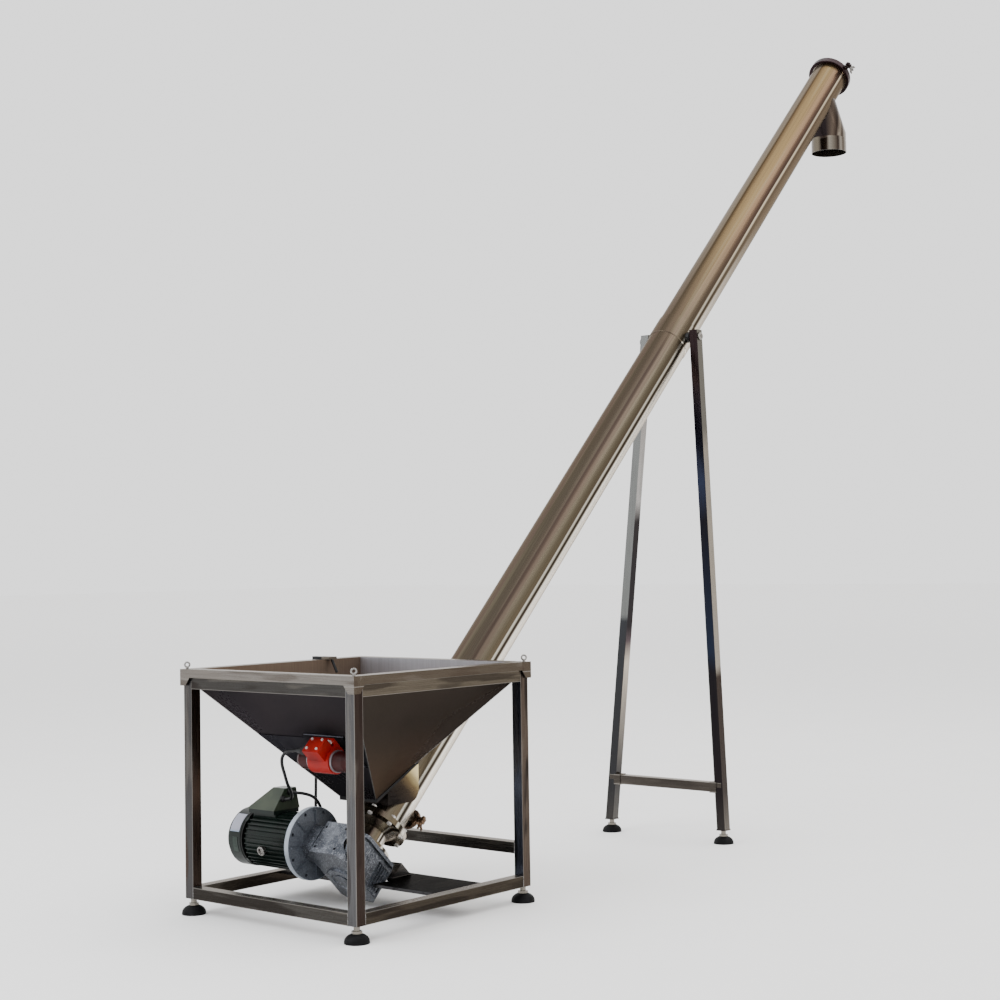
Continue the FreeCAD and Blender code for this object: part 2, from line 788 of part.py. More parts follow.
def make_gear_box():
    body = raised(prism(box_outline(box_half_width, box_upper, box_lower, box_corner),
                        Vector(0, 0, box_front - box_rear)), box_rear)
    outline = box_outline(box_plate_half, -box_plate_half, box_plate_half, box_plate_corner)
    flange = raised(prism(outline, Vector(0, 0, box_flange_front - box_flange_rear)), box_flange_rear)
    worm_centre = Vector(-gear_distance, 0, gear_along)
    neck_end = input_flange_start - frame_width / 2
    neck = rod(input_neck_radius, worm_centre + AXIS_Y * (box_half_width - 20.0),
               worm_centre + AXIS_Y * neck_end)
    body = body.fuse(flange).fuse(neck.common(box(box_upper, 0, 0, neck_end, box_rear - 4.0, box_front)))
    chamber = rod(box_half_width - box_wall, Vector(0, 0, box_rear + box_wall + 3.0),
                  Vector(0, 0, box_front - box_wall - 3.0))
    tunnel = rod(42.0, worm_centre - AXIS_Y * (box_half_width - box_wall), worm_centre + AXIS_Y * 76.0)
    body = body.cut(chamber).cut(tunnel)
    body = body.cut(rod(auger_shaft_radius + 6.0, Vector(0, 0, box_rear - 1.0),
                        Vector(0, 0, box_flange_front + 1.0)))
    body = body.cut(rod(17.0 + running_clearance, worm_centre - AXIS_Y * 90.0,
                        worm_centre + AXIS_Y * (neck_end + 1)))
    body = body.cut(side_pocket())
    for reach in (-1, 1):
        for place in (box_rear + 22.0, box_front - 22.0):
            hole = rod(5.0, Vector(box_upper - 1, reach * 46.0, place),
                       Vector(box_upper + 14.0, reach * 46.0, place))
            body = body.cut(hole)
    for x in (-box_plate_hole, box_plate_hole):
        for y in (-box_plate_hole, box_plate_hole):
            body = body.cut(rod(5.0, Vector(x, y, box_flange_rear), Vector(x, y, box_flange_front)))
    keep("gearbox_housing", on_tube(body))

    hub = turned([(auger_shaft_radius + 8.0, box_rear), (hub_cover_radius, box_rear),
                  (hub_cover_radius, box_rear - hub_cover_depth + 2), (hub_cover_radius - 3,
                                                                       box_rear - hub_cover_depth),
                  (42.0, box_rear - hub_cover_depth), (40.0, box_rear - hub_cover_depth + 3.0),
                  (auger_shaft_radius + 8.0, box_rear - hub_cover_depth + 3.0)],
                 Vector(0, 0, 0), AXIS_Z, AXIS_X)
    cap = turned([(0, box_rear - 9.0), (auger_shaft_radius + 7.9, box_rear - 9.0),
                  (auger_shaft_radius + 7.9, box_rear),
                  (0, box_rear)], Vector(0, 0, 0), AXIS_Z, AXIS_X)
    cap = cap.cut(rod(auger_shaft_radius + 1.0, Vector(0, 0, shaft_start - 1.0), Vector(0, 0, box_rear)))
    side = rod(side_cover_radius, worm_centre - AXIS_Y * (box_half_width + side_cover_depth),
               worm_centre - AXIS_Y * box_half_width)
    side = side.fuse(rod(26.0, worm_centre - AXIS_Y * (box_half_width + side_cover_depth + 5.0),
                         worm_centre - AXIS_Y * (box_half_width + side_cover_depth)))
    keep("gearbox_covers", on_tube(hub), on_tube(cap), on_tube(side))


def side_pocket():
    """A cast recess on the open side, crossed by stiffening ribs."""
    low = -box_half_width - 1.0
    floor = pocket_depth - box_half_width
    upper = pocket_start
    lower = box_lower - pocket_margin
    pocket = box(upper, lower, low, floor, box_rear + pocket_margin, box_flange_rear - pocket_margin)
    step = (lower - upper) / (pocket_rib_count + 1)
    for index in range(pocket_rib_count):
        place = upper + step * (index + 1)
        half = pocket_rib_thickness / 2
        pocket = pocket.cut(box(place - half, place + half, low, floor, box_rear, box_front))
    return pocket


def make_input_flange():
    inner = 40.0
    profile = [(inner, input_flange_start), (input_neck_radius, input_flange_start),
               (input_flange_radius, input_flange_start + 6.0), (input_flange_radius, input_flange_end),
               (inner, input_flange_end)]
    flange = motor_turned(profile)
    centre = Vector(motor_x, input_flange_start, motor_z)
    half = input_rib_thickness / 2
    for index in range(input_rib_count):
        rib = box(motor_x + input_neck_radius + 4.0, motor_x + input_flange_radius - 8.0,
                  input_flange_start - 4.0,
                  input_flange_start + 7.0, motor_z - half, motor_z + half)
        rib.rotate(centre, AXIS_Y, 360.0 * index / input_rib_count)
        flange = flange.fuse(rib)
    for point in ring_points(centre, AXIS_Y, AXIS_X, input_flange_radius - 14.0, 8, 22.5):
        flange = flange.cut(rod(6.0, point - AXIS_Y * 5.0, point + AXIS_Y * 20.0))
    keep("input_flange", flange)

    plate = motor_turned([(24.0, input_flange_end), (input_flange_radius, input_flange_end),
                          (input_flange_radius, motor_flange_end - 4.0), (input_flange_radius - 6.0,
                                                                          motor_flange_end),
                          (24.0, motor_flange_end)])
    keep("motor_flange", plate)


def make_motor():
    start = motor_flange_end
    shell = motor_turned([(motor_core_radius, start), (motor_barrel_radius, start),
                          (motor_barrel_radius, motor_barrel_end - 6.0), (motor_core_radius + 6.0,
                                                                          motor_barrel_end),
                          (motor_shaft_radius + 4.0, motor_barrel_end), (motor_shaft_radius + 4.0,
                                                                         motor_barrel_end - 14.0),
                          (motor_core_radius, motor_barrel_end - 14.0)])
    centre = Vector(motor_x, 0, motor_z)
    fins = []
    step = 360.0 / motor_fin_count
    for index in range(motor_fin_count):
        angle = step * (index + 0.5)
        fin = box(motor_x + motor_barrel_radius - 2.0, motor_x + motor_fin_radius, start + 4.0,
                  motor_barrel_end - 12.0,
                  motor_z - motor_fin_thickness / 2, motor_z + motor_fin_thickness / 2)
        fin.rotate(centre, AXIS_Y, angle)
        fins.append(fin)
    boss = box(terminal_x0 + 12.0, terminal_x1 - 12.0, terminal_y0 + 6.0, motor_barrel_end - 8.0,
               motor_z + motor_barrel_radius - 26.0, terminal_low_z)
    boss = boss.cut(motor_rod(motor_core_radius, start, motor_barrel_end - 7.0))
    clear = box(terminal_x0 - 4.0, terminal_x1 + 4.0, terminal_y0 - 4.0, motor_barrel_end,
                terminal_low_z - 1.0, terminal_top_z)
    trimmed = [fin.cut(clear) for fin in fins]
    keep("motor_body", shell.fuse(trimmed + [boss]))

    core = motor_turned([(motor_bore_radius, start + 40.0), (motor_core_radius - seat_clearance,
                                                             start + 40.0),
                         (motor_core_radius - seat_clearance, motor_barrel_end - 60.0),
                         (motor_bore_radius, motor_barrel_end - 60.0)])
    keep("motor_stator", core)

    shaft_end = fan_cover_end - 26.0
    rotor = motor_turned([(0, input_flange_start + 0.5), (motor_shaft_radius, input_flange_start + 0.5),
                          (motor_shaft_radius, start + 36.0), (rotor_radius, start + 42.0),
                          (rotor_radius, motor_barrel_end - 62.0), (motor_shaft_radius,
                                                                    motor_barrel_end - 56.0),
                          (motor_shaft_radius, shaft_end), (0, shaft_end)])
    keep("motor_rotor", rotor)

    cover = motor_turned([(fan_cover_radius - 2.0, fan_cover_start), (fan_cover_radius, fan_cover_start),
                          (fan_cover_radius, fan_cover_end - 16.0), (fan_cover_radius - 12.0,
                                                                     fan_cover_end),
                          (0, fan_cover_end), (0, fan_cover_end - 2.0), (fan_cover_radius - 13.0,
                                                                         fan_cover_end - 2.0),
                          (fan_cover_radius - 2.0, fan_cover_end - 17.0)])
    rear = Vector(motor_x, fan_cover_end - 4.0, motor_z)
    for ring, count in ((28.0, 8), (48.0, 14), (68.0, 20)):
        for point in ring_points(rear, AXIS_Y, AXIS_X, ring, count):
            cover = cover.cut(rod(4.5, point, point + AXIS_Y * 8.0))
    tabs = []
    for angle in (45.0, 135.0, 225.0, 315.0):
        tab = box(motor_x + motor_core_radius + 4.0, motor_x + fan_cover_radius - 1.0,
                  motor_barrel_end - 4.0,
                  fan_cover_start + 8.0, motor_z - 8.0, motor_z + 8.0)
        tab = tab.cut(motor_turned([(0, 0), (motor_barrel_radius + 1.0, 0),
                                    (motor_barrel_radius + 1.0, motor_barrel_end),
                                    (0, motor_barrel_end)]))
        tab.rotate(centre, AXIS_Y, angle)
        tabs.append(tab)
    keep("fan_cover", cover.fuse(tabs))

    hub = motor_turned([(motor_shaft_radius + seat_clearance, fan_cover_start + 12.0),
                        (30.0, fan_cover_start + 12.0),
                        (30.0, fan_cover_start + 44.0),
                        (motor_shaft_radius + seat_clearance, fan_cover_start + 44.0)])
    blades = []
    for index in range(fan_blades):
        blade = box(motor_x + 27.0, motor_x + fan_radius, fan_cover_start + 14.0, fan_cover_start + 44.0,
                    motor_z - 1.5, motor_z + 1.5)
        blade.rotate(centre, AXIS_Y, 360.0 * index / fan_blades)
        blades.append(blade)
    keep("cooling_fan", hub.fuse(blades))

    rear = terminal_y1 - terminal_overhang
    base = box(terminal_x0 + 2.0, terminal_x1 - 2.0, terminal_y0 + 2.0, rear, terminal_low_z,
               terminal_split_z)
    base = base.cut(box(terminal_x0 + 6.0, terminal_x1 - 6.0, terminal_y0 + 6.0, rear - 4.0,
                        terminal_low_z + sheet, terminal_split_z))
    keep("terminal_box", base)
    keep("terminal_lid", terminal_hood(0).cut(terminal_hood(sheet)))


def terminal_hood(inset):
    """The hipped lid: a level base outline lofted to a smaller top that stays flush with one side."""
    y0 = terminal_y0 + inset
    y1 = terminal_y1 - inset
    low = terminal_split_z
    high = terminal_top_z - inset
    base = [Vector(terminal_x0 + inset, y0, low), Vector(terminal_x1 - inset, y0, low),
            Vector(terminal_x1 - inset, y1, low), Vector(terminal_x0 + inset, y1, low)]
    top_x0 = terminal_x0 + 52.0
    top = [Vector(top_x0 + inset, y0, high), Vector(terminal_x1 - 16.0 - inset, y0, high),
           Vector(terminal_x1 - 16.0 - inset, y0 + 58.0 - 2 * inset, high),
           Vector(top_x0 + inset, y0 + 58.0 - 2 * inset, high)]
    wires = [Part.makePolygon(base + [base[0]]), Part.makePolygon(top + [top[0]])]
    return solid_of(Part.makeLoft(wires, True, True))


def make_bearing_housing():
    rear = box_flange_front
    front = tube_start
    bore = auger_shaft_radius + 2.0
    plate = front - tube_flange_thickness
    profile = [(bore, rear), (lantern_flange_radius, rear), (lantern_flange_radius, rear + 10.0),
               (lantern_neck_radius, rear + 16.0), (lantern_neck_radius, plate - 24.0),
               (tube_flange_radius - 32.0, plate), (tube_flange_radius, plate),
               (tube_flange_radius, front), (bore, front)]
    housing = turned(profile, Vector(0, 0, 0), AXIS_Z, AXIS_X)
    seat = rod(bearing_radius + seat_clearance, Vector(0, 0, rear),
               Vector(0, 0, bearing_along + bearing_width))
    housing = on_tube(housing.cut(seat))
    for point in flange_bolt_points():
        housing = housing.cut(flange_bolt_shank(point, flange_bolt_radius + bolt_clearance))
    keep("bearing_housing", housing)
    bearing = turned([(auger_shaft_radius + running_clearance, bearing_along),
                      (bearing_radius, bearing_along),
                      (bearing_radius, bearing_along + bearing_width),
                      (auger_shaft_radius + running_clearance, bearing_along + bearing_width)],
                     Vector(0, 0, 0), AXIS_Z, AXIS_X)
    bush_end = tube_end + shaft_tip_reach - 2.0
    bush = turned([(shaft_tip_radius + running_clearance, tube_end), (22.0, tube_end),
                   (22.0, bush_end), (shaft_tip_radius + running_clearance, bush_end)],
                  Vector(0, 0, 0), AXIS_Z, AXIS_X)
    keep("auger_bearings", on_tube(bearing), on_tube(bush))


def make_bracket():
    low = box_lower
    plate = box(low, low + cradle_thickness, -cradle_half_width, cradle_half_width, cradle_rear,
                cradle_front)
    base_top = post_bottom + frame_tube
    upright = box(low, low + 120.0, -cradle_half_width, cradle_half_width,
                  cradle_front - cradle_thickness, cradle_front)
    rib = prism([Vector(low + cradle_thickness, 0, cradle_rear + 60.0),
                 Vector(low + cradle_thickness, 0, cradle_front),
                 Vector(low + 60.0, 0, cradle_front)], Vector(0, 8.0, 0))
    ribs = []
    for y in (-cradle_half_width, cradle_half_width - 8.0):
        moved = rib.copy()
        moved.translate(Vector(0, y, 0))
        ribs.append(moved)
    bracket = on_tube(plate.fuse([upright] + ribs))
    bracket = bracket.cut(box(0, frame_length, 0, frame_width, -200.0, base_top))
    keep("gearbox_bracket", *keep_above(bracket))

    x0 = base_plate_x0
    x1 = base_plate_x1
    plate = box(x0, x1, frame_tube, frame_width - frame_tube, base_top - base_plate_thickness, base_top)
    gap = base_slot_clearance
    shadow = box_outline(box_half_width + gap, box_upper - gap, box_lower + cradle_thickness + gap,
                         box_corner)
    shadow = raised(prism(shadow, Vector(0, 0, box_front - box_rear + 2 * gap)), box_rear - gap)
    keep("gearbox_base_plate", plate.cut(on_tube(shadow)))


def keep_above(shape):
    """The largest solid left after a cut."""
    ordered = sorted(shape.Solids, key=lambda solid: solid.Volume)
    return [ordered[-1]]


def vibrator_frame(shape):
    """Move a shape from the vibrator's own frame (z outwards, y along its shaft) to its place."""
    moved = shape.copy()
    moved.Placement = vibrator_place.multiply(moved.Placement)
    return moved


def face_x(z):
    """The rear face's x at a height."""
    return hopper_x0 + (hopper_crease - z) * slope_run / slope_drop


vibrator_seat_z = vibrator_z + vibrator_standoff * slope_run / slope_length
vibrator_seat = Vector(face_x(vibrator_seat_z), vibrator_y, vibrator_seat_z)
vibrator_place = FreeCAD.Placement(vibrator_seat, slope_place.Rotation)


def make_vibrator():
    plate_y0 = vibrator_plate_y0 - vibrator_y
    plate_y1 = vibrator_plate_y1 - vibrator_y
    thin = stiffener_thickness
    seat = thin + vibrator_plate_thickness
    plate = box(-vibrator_plate_down, vibrator_plate_up, plate_y0, plate_y1, thin, seat)
    keep("vibrator_plate", vibrator_frame(plate), stiffener(thin))

    axis = vibrator_standoff
    half = vibrator_body_half
    near = Vector(0, -half, axis)
    far = Vector(0, half, axis)
    foot_top = seat + vibrator_foot_thickness
    pedestal = vibrator_radius - 4.0
    block = box(-pedestal, pedestal, 4.0 - half, half - 4.0, seat + 4.0, axis)
    feet = box(-vibrator_foot_half, vibrator_foot_half, -half, half, seat, foot_top)
    hood = box(vibrator_bore_radius - 4.0, vibrator_hood_reach, -vibrator_hood_half, vibrator_hood_half,
               vibrator_hood_low, vibrator_hood_high)
    body = rod(vibrator_radius, near, far).fuse([block, feet, hood])
    body = body.cut(rod(vibrator_bore_radius, near, far))
    bolts = []
    for x in (-vibrator_bolt_across, vibrator_bolt_across):
        for y in (-vibrator_bolt_along, vibrator_bolt_along):
            low = Vector(x, y, seat)
            top = Vector(x, y, foot_top)
            body = body.cut(rod(6.5, low, top))
            head = hexagon(17.0, top, top + Vector(0, 0, 6.0), AXIS_X)
            bolts.append(vibrator_frame(head.fuse(rod(6.0, low, top))))
    for y in (-22.5, 22.5):
        for z in (33.5, 70.5):
            start = Vector(vibrator_hood_reach, y, z)
            bolts.append(vibrator_frame(hexagon(8.0, start, start + AXIS_X * 4.0, AXIS_Y)))
    keep("vibrator_body", vibrator_frame(body))
    keep("hex_bolts", *(bolts + flange_bolts()))

    caps = []
    rings = []
    weights = []
    outer = vibrator_cap_radius
    for side in (-1, 1):
        start = side * half
        end = side * (half + vibrator_cap_length)
        profile = [(outer - 6.0, start), (vibrator_ring_radius, start),
                   (vibrator_ring_radius, start + side * 8.0),
                   (outer - 1.0, start + side * 8.0), (outer - 1.0, start + side * 13.0),
                   (outer, start + side * 13.0), (outer - 1.0, end - side * 16.0), (outer - 10.0,
                                                                                    end), (0, end),
                   (0, end - side * 3.0), (outer - 11.0, end - side * 3.0), (outer - 5.0,
                                                                             end - side * 17.0),
                   (outer - 5.0, start + side * 20.0), (outer - 6.0, start + side * 12.0)]
        caps.append(vibrator_frame(turned(profile, Vector(0, 0, axis), AXIS_Y, AXIS_X)))
        rings.append(vibrator_frame(pipe(vibrator_bore_radius - seat_clearance,
                                         vibrator_shaft_radius + running_clearance,
                                         Vector(0, start, axis), Vector(0, start - side * 10.0, axis))))
        disc = rod(vibrator_weight_radius, Vector(0, start + side * 22.0, axis),
                   Vector(0, start + side * 44.0, axis))
        reach = half + vibrator_cap_length
        weight = disc.common(box(-reach, reach, -reach, reach, 0, axis + 6.0))
        weight.rotate(Vector(0, 0, axis), AXIS_Y, math.degrees(math.atan2(slope_drop, -slope_run)))
        weights.append(weight)
    keep("vibrator_end_caps", *caps)
    keep("vibrator_bearings", *rings)
    shaft = rod(vibrator_shaft_radius, near - AXIS_Y * 48.0, far + AXIS_Y * 48.0)
    core = rod(vibrator_bore_radius - 4.0, near + AXIS_Y * 12.0, far - AXIS_Y * 12.0)
    keep("vibrator_rotor", vibrator_frame(shaft.fuse([core] + weights)))


def stiffener(thin):
    """A thin stiffening sheet across the rear face, level along its upper edge."""
    top = stiffener_top_z
    low = vibrator_seat.z - (vibrator_plate_down + stiffener_margin) * slope_drop / slope_length
    points = []
    for z, side in ((top, 0), (top, 1), (low, 1), (low, 0)):
        share = (hopper_crease - z) / slope_drop
        edge = hopper_y0 + (outlet_y0 - hopper_y0) * share + 2.0
        y = edge if side == 0 else frame_width - edge
        points.append(Vector(face_x(z), y, z))
    return prism(points, slope_out * thin)


def make_support():
    pivot = at_tube(0, 0, joint_along - pivot_setback)
    over = support_top_over
    rise = pivot.z - support_leg_bottom
    lean = (pivot.x - support_foot_x) / rise
    slope = (support_foot_half - support_top_half) / rise
    legs = []
    solids = []
    plugs = []
    middle = frame_width / 2
    half = frame_tube / 2
    wall = frame_wall
    for side in (-1, 1):
        foot = Vector(support_foot_x, middle + side * support_foot_half, support_leg_bottom)
        path = Vector(lean * (rise + over), -side * slope * (rise + over), rise + over)
        outer = prism(square(foot, half), path)
        inner = prism(square(foot, half - wall), path)
        bush_in = Vector(pivot.x, middle + side * (support_top_half - half - 3.0), pivot.z)
        bush_out = Vector(pivot.x, middle + side * (support_top_half + half + 3.0), pivot.z)
        bush = rod(pivot_bush_radius, bush_in, bush_out)
        leg = outer.cut(inner).fuse(bush).cut(rod(pivot_radius + running_clearance, bush_in, bush_out))
        legs.append(leg)
        solids.append(outer)
        plug = prism(square(foot, half - wall - seat_clearance), path * (stud_plug_height / path.z))
        flange = prism(square(foot - Vector(0, 0, 5.0), half + 2.0), Vector(0, 0, 5.0))
        plug = plug.fuse(flange)
        hole = rod(stud_radius + running_clearance, foot - Vector(0, 0, 6.0),
                   foot + Vector(0, 0, stud_plug_height + 2))
        plugs.append(plug.cut(hole))
        name = "foot_support_right" if side < 0 else "foot_support_left"
        keep(name, *levelling_foot(foot.x, foot.y, support_leg_bottom - 20.0))
    keep("support_legs", *legs)
    keep("leg_plugs", *plugs)

    low = crossbar_bottom
    high = low + frame_tube
    centre_x = support_foot_x + lean * (low + half - support_leg_bottom)
    reach = support_foot_half
    bar = box(centre_x - half, centre_x + half, middle - reach, middle + reach, low, high)
    hollow = box(centre_x - half + wall, centre_x + half - wall, middle - reach, middle + reach,
                 low + wall, high - wall)
    bar = bar.cut(hollow)
    proud = half + crossbar_collar_proud
    for side in (-1, 1):
        y_leg = middle + side * (support_foot_half - slope * (low + half - support_leg_bottom) - half)
        y_end = y_leg - side * crossbar_collar
        y0 = min(y_leg + side * 8.0, y_end)
        y1 = max(y_leg + side * 8.0, y_end)
        collar = box(centre_x - proud, centre_x + proud, y0, y1, low - crossbar_collar_proud,
                     high + crossbar_collar_proud)
        bar = bar.fuse(collar.cut(hollow))
    bar = bar.cut(solids[0]).cut(solids[1])
    keep("support_crossbar", *keep_above(bar))

    bolts = []
    for side in (-1, 1):
        head_in = middle + side * (support_top_half + half + 3.0 + weld_clearance)
        head = turned([(0, head_in), (pivot_head_radius, head_in),
                       (pivot_head_radius, head_in + side * 3.0),
                       (pivot_head_radius - 6.0, head_in + side * pivot_head_length),
                       (0, head_in + side * pivot_head_length)], Vector(pivot.x, 0, pivot.z), AXIS_Y, AXIS_X)
        bolts.append(head.fuse(pivot_pin(side, pivot_radius)))
        collar_in = Vector(pivot.x, middle + side * (tube_radius + socket_wall + 1.0), pivot.z)
        collar_out = Vector(pivot.x, middle + side * (support_top_half - half - 3.0 - weld_clearance),
                            pivot.z)
        bolts.append(pipe(pivot_collar_radius, pivot_boss_radius + seat_clearance, collar_in, collar_out))
    keep("pivot_bolts", *bolts)


def square(centre, half):
    return [centre + Vector(-half, -half, 0), centre + Vector(half, -half, 0),
            centre + Vector(half, half, 0), centre + Vector(-half, half, 0)]


def pivot_pin(side, radius):
    pivot = at_tube(0, 0, joint_along - pivot_setback)
    inner = frame_width / 2 + side * (tube_radius + socket_wall + 1.0)
    outer = frame_width / 2 + side * (support_top_half + frame_tube / 2 + 3.0 + weld_clearance)
    return rod(radius, Vector(pivot.x, inner, pivot.z), Vector(pivot.x, outer, pivot.z))


def pivot_boss(side):
    """A round boss welded to the tube's side that the support leg turns on."""
    pivot = at_tube(0, 0, joint_along - pivot_setback)
    inner = frame_width / 2 + side * (tube_radius - 12.0)
    outer = frame_width / 2 + side * (support_top_half - frame_tube / 2 - 3.0 - weld_clearance)
    return rod(pivot_boss_radius, Vector(pivot.x, inner, pivot.z), Vector(pivot.x, outer, pivot.z))


def cleanout_neck():
    """A short ferrule pipe welded under the tube, square to its axis."""
    start = at_tube(tube_radius - 8.0, 0, cleanout_along)
    end = at_tube(cleanout_depth, 0, cleanout_along)
    neck = rod(cleanout_neck_radius, start, end)
    lip = rod(cleanout_ferrule_radius, at_tube(cleanout_depth - 5.0, 0, cleanout_along), end)
    inside = rod(tube_radius - tube_wall, at_tube(0, 0, tube_start), at_tube(0, 0, joint_along))
    return neck.fuse(lip).cut(inside)


def clamp_half(centre, axis, side, lip_radius, groove_radius, width, wall, lug_reach, upper):
    """One half of a two-piece clamp ring with a groove that draws two ferrules together."""
    outer = groove_radius + wall
    lower = -width / 2
    high = width / 2
    ring = turned([(lip_radius, lower), (outer - 2, lower), (outer, lower + 2), (outer, high - 2),
                   (outer - 2, high),
                   (lip_radius, high), (lip_radius, high - clamp_lip), (groove_radius, high - clamp_lip),
                   (groove_radius, lower + clamp_lip), (lip_radius, lower + clamp_lip)], centre, axis, side)
    across = axis.cross(side)
    size = outer * 3
    sign = 1 if upper else -1
    corner = centre - side * size - axis * size + across * (sign * 1.0)
    outline = [corner, corner + side * (2 * size), corner + side * (2 * size) + axis * (2 * size),
               corner + axis * (2 * size)]
    half = ring.common(prism(outline, across * (sign * size)))
    lugs = []
    for reach in (-1, 1):
        root = centre + side * (reach * (outer - 3.0)) + across * (sign * 1.0)
        tip = root + side * (reach * (lug_reach + 3.0 if reach > 0 else hinge_reach))
        lug = prism([root - axis * 8.0, root + axis * 8.0, tip + axis * 8.0, tip - axis * 8.0],
                    across * (sign * 9.0))
        lugs.append(lug)
    half = half.fuse(lugs)
    stud_centre = centre + side * (outer + lug_reach - clamp_stud_inset)
    half = half.cut(rod(clamp_stud_radius + running_clearance, stud_centre - across * 40.0,
                        stud_centre + across * 40.0))
    return half


def clamp_set(centre, axis, side, lip_radius, groove_radius, width, wall, lug_reach, scale):
    """Both halves, the stud through their lugs and the wing nut on it."""
    upper = clamp_half(centre, axis, side, lip_radius, groove_radius, width, wall, lug_reach, True)
    lower = clamp_half(centre, axis, side, lip_radius, groove_radius, width, wall, lug_reach, False)
    across = axis.cross(side)
    outer = groove_radius + wall
    stud_centre = centre + side * (outer + lug_reach - clamp_stud_inset)
    stud = rod(clamp_stud_radius, stud_centre - across * 10.0, stud_centre + across * 34.0)
    head = hexagon(14.0, stud_centre - across * 16.0, stud_centre - across * 10.0, axis)
    stud = stud.fuse(head)
    nut_start = stud_centre + across * (10.0 + weld_clearance)
    hub_length = wing_hub_length * scale
    height = wing_height * scale
    hub = rod(wing_hub_radius, nut_start, nut_start + across * hub_length)
    wings = []
    for reach in (-1, 1):
        root = nut_start + axis * (reach * 5.0) - side * (wing_thickness / 2)
        tip = root + axis * (reach * (wing_span * scale - 5.0))
        wings.append(prism([root + across * 1.0, root + across * hub_length, tip + across * height,
                            tip + across * (height - 9.0 * scale)], side * wing_thickness))
    hole = rod(clamp_stud_radius + running_clearance, nut_start, nut_start + across * height)
    nut = hub.fuse(wings).cut(hole)
    return upper, lower, stud, nut


def make_end():
    cap_start = tube_end
    rim_end = cap_start + ferrule_thickness
    cap = turned([(24.0, cap_start), (ferrule_radius, cap_start), (ferrule_radius, rim_end),
                  (ferrule_radius - 8.0, rim_end), (ferrule_radius - 12.0, rim_end + 4.0),
                  (34.0, rim_end + 10.0), (30.0, cap_start + 52.0), (0, cap_start + 52.0), (0, cap_start + 46.0),
                  (24.0, cap_start + 46.0)], Vector(0, 0, 0), AXIS_Z, AXIS_X)
    seat = rod(22.0 + seat_clearance, Vector(0, 0, cap_start), Vector(0, 0, cap_start + 46.0))
    cap = cap.fuse(pipe(26.0, 22.0 + seat_clearance, Vector(0, 0, cap_start + 1.0),
                        Vector(0, 0, cap_start + 46.0)))
    keep("end_cap", on_tube(cap.cut(seat)))
    centre = at_tube(0, 0, tube_end)
    closure = tube_place.Rotation.multVec(Vector(-38.0, -114.0, 0).normalize())
    upper, lower, stud, nut = clamp_set(centre, tube_direction, closure, tube_radius + 2.4,
                                        ferrule_radius + 0.4, clamp_width, end_clamp_wall, end_lug_reach,
                                        end_nut_scale)
    keep("end_clamp_upper", upper)
    keep("end_clamp_lower", lower, stud)
    keep("end_wing_nut", nut)

    base = at_tube(cleanout_depth, 0, cleanout_along)
    cap = rod(cleanout_ferrule_radius, base, base + across_direction * 5.0)
    keep("cleanout_cap", cap.fuse(rod(18.0, base, base + across_direction * 9.0)))
    upper, lower, stud, nut = clamp_set(base, across_direction, AXIS_Y * -1, cleanout_neck_radius + 1.5,
                                        cleanout_ferrule_radius + 0.4, 2 * (5.0 + clamp_lip) + 0.6, clamp_wall,
                                        clamp_lug_reach, 1.0)
    keep("cleanout_clamp", upper, lower, stud)
    keep("cleanout_wing_nut", nut)


def gland(start, direction, side, flats, length):
    """A cable gland: a hexagon body and a tapered dome, with a hole for the cable."""
    neck = start + direction * (length * 0.45)
    tip = start + direction * length
    body = hexagon(flats, start, neck, side)
    dome = Part.makeCone(flats / 2 - 0.5, cable_diameter / 2 + 2.5, (tip - neck).Length, neck, direction)
    hole = rod(cable_diameter / 2 + 1.0, start + direction * cable_grip, tip)
    return body.fuse(dome).cut(hole)


def cord_tube(name, points, diameter):
    """A cable along straight runs joined by tangent arcs, as large as the runs allow."""
    edges = []
    previous = points[0]
    radii = []
    for before, corner, after in zip(points, points[1:], points[2:]):
        incoming = (corner - before).normalize()
        outgoing = (after - corner).normalize()
        shorter = min((corner - before).Length, (after - corner).Length)
        half_turn = incoming.getAngle(outgoing) / 2
        setback = 0.45 * shorter
        radius = setback / math.tan(half_turn)
        radii.append(radius)
        start = corner - incoming * setback
        end = corner + outgoing * setback
        inward = (outgoing - incoming).normalize()
        middle = corner + inward * (radius / math.cos(half_turn) - radius)
        edges.append(Part.LineSegment(previous, start).toShape())
        edges.append(Part.Arc(start, middle, end).toShape())
        previous = end
    edges.append(Part.LineSegment(previous, points[-1]).toShape())
    path = Part.Wire(edges)
    first = (points[1] - points[0]).normalize()
    section = Part.Wire([Part.makeCircle(diameter / 2, points[0], first)])
    tube = solid_of(path.makePipeShell([section], True, True))
    ideal = math.pi * diameter ** 2 / 4 * path.Length
    print(name, "length", round(path.Length, 1), "smallest radius", round(min(radii), 1),
          "volume ratio", round(tube.Volume / ideal, 4))
    keep(name, tube)


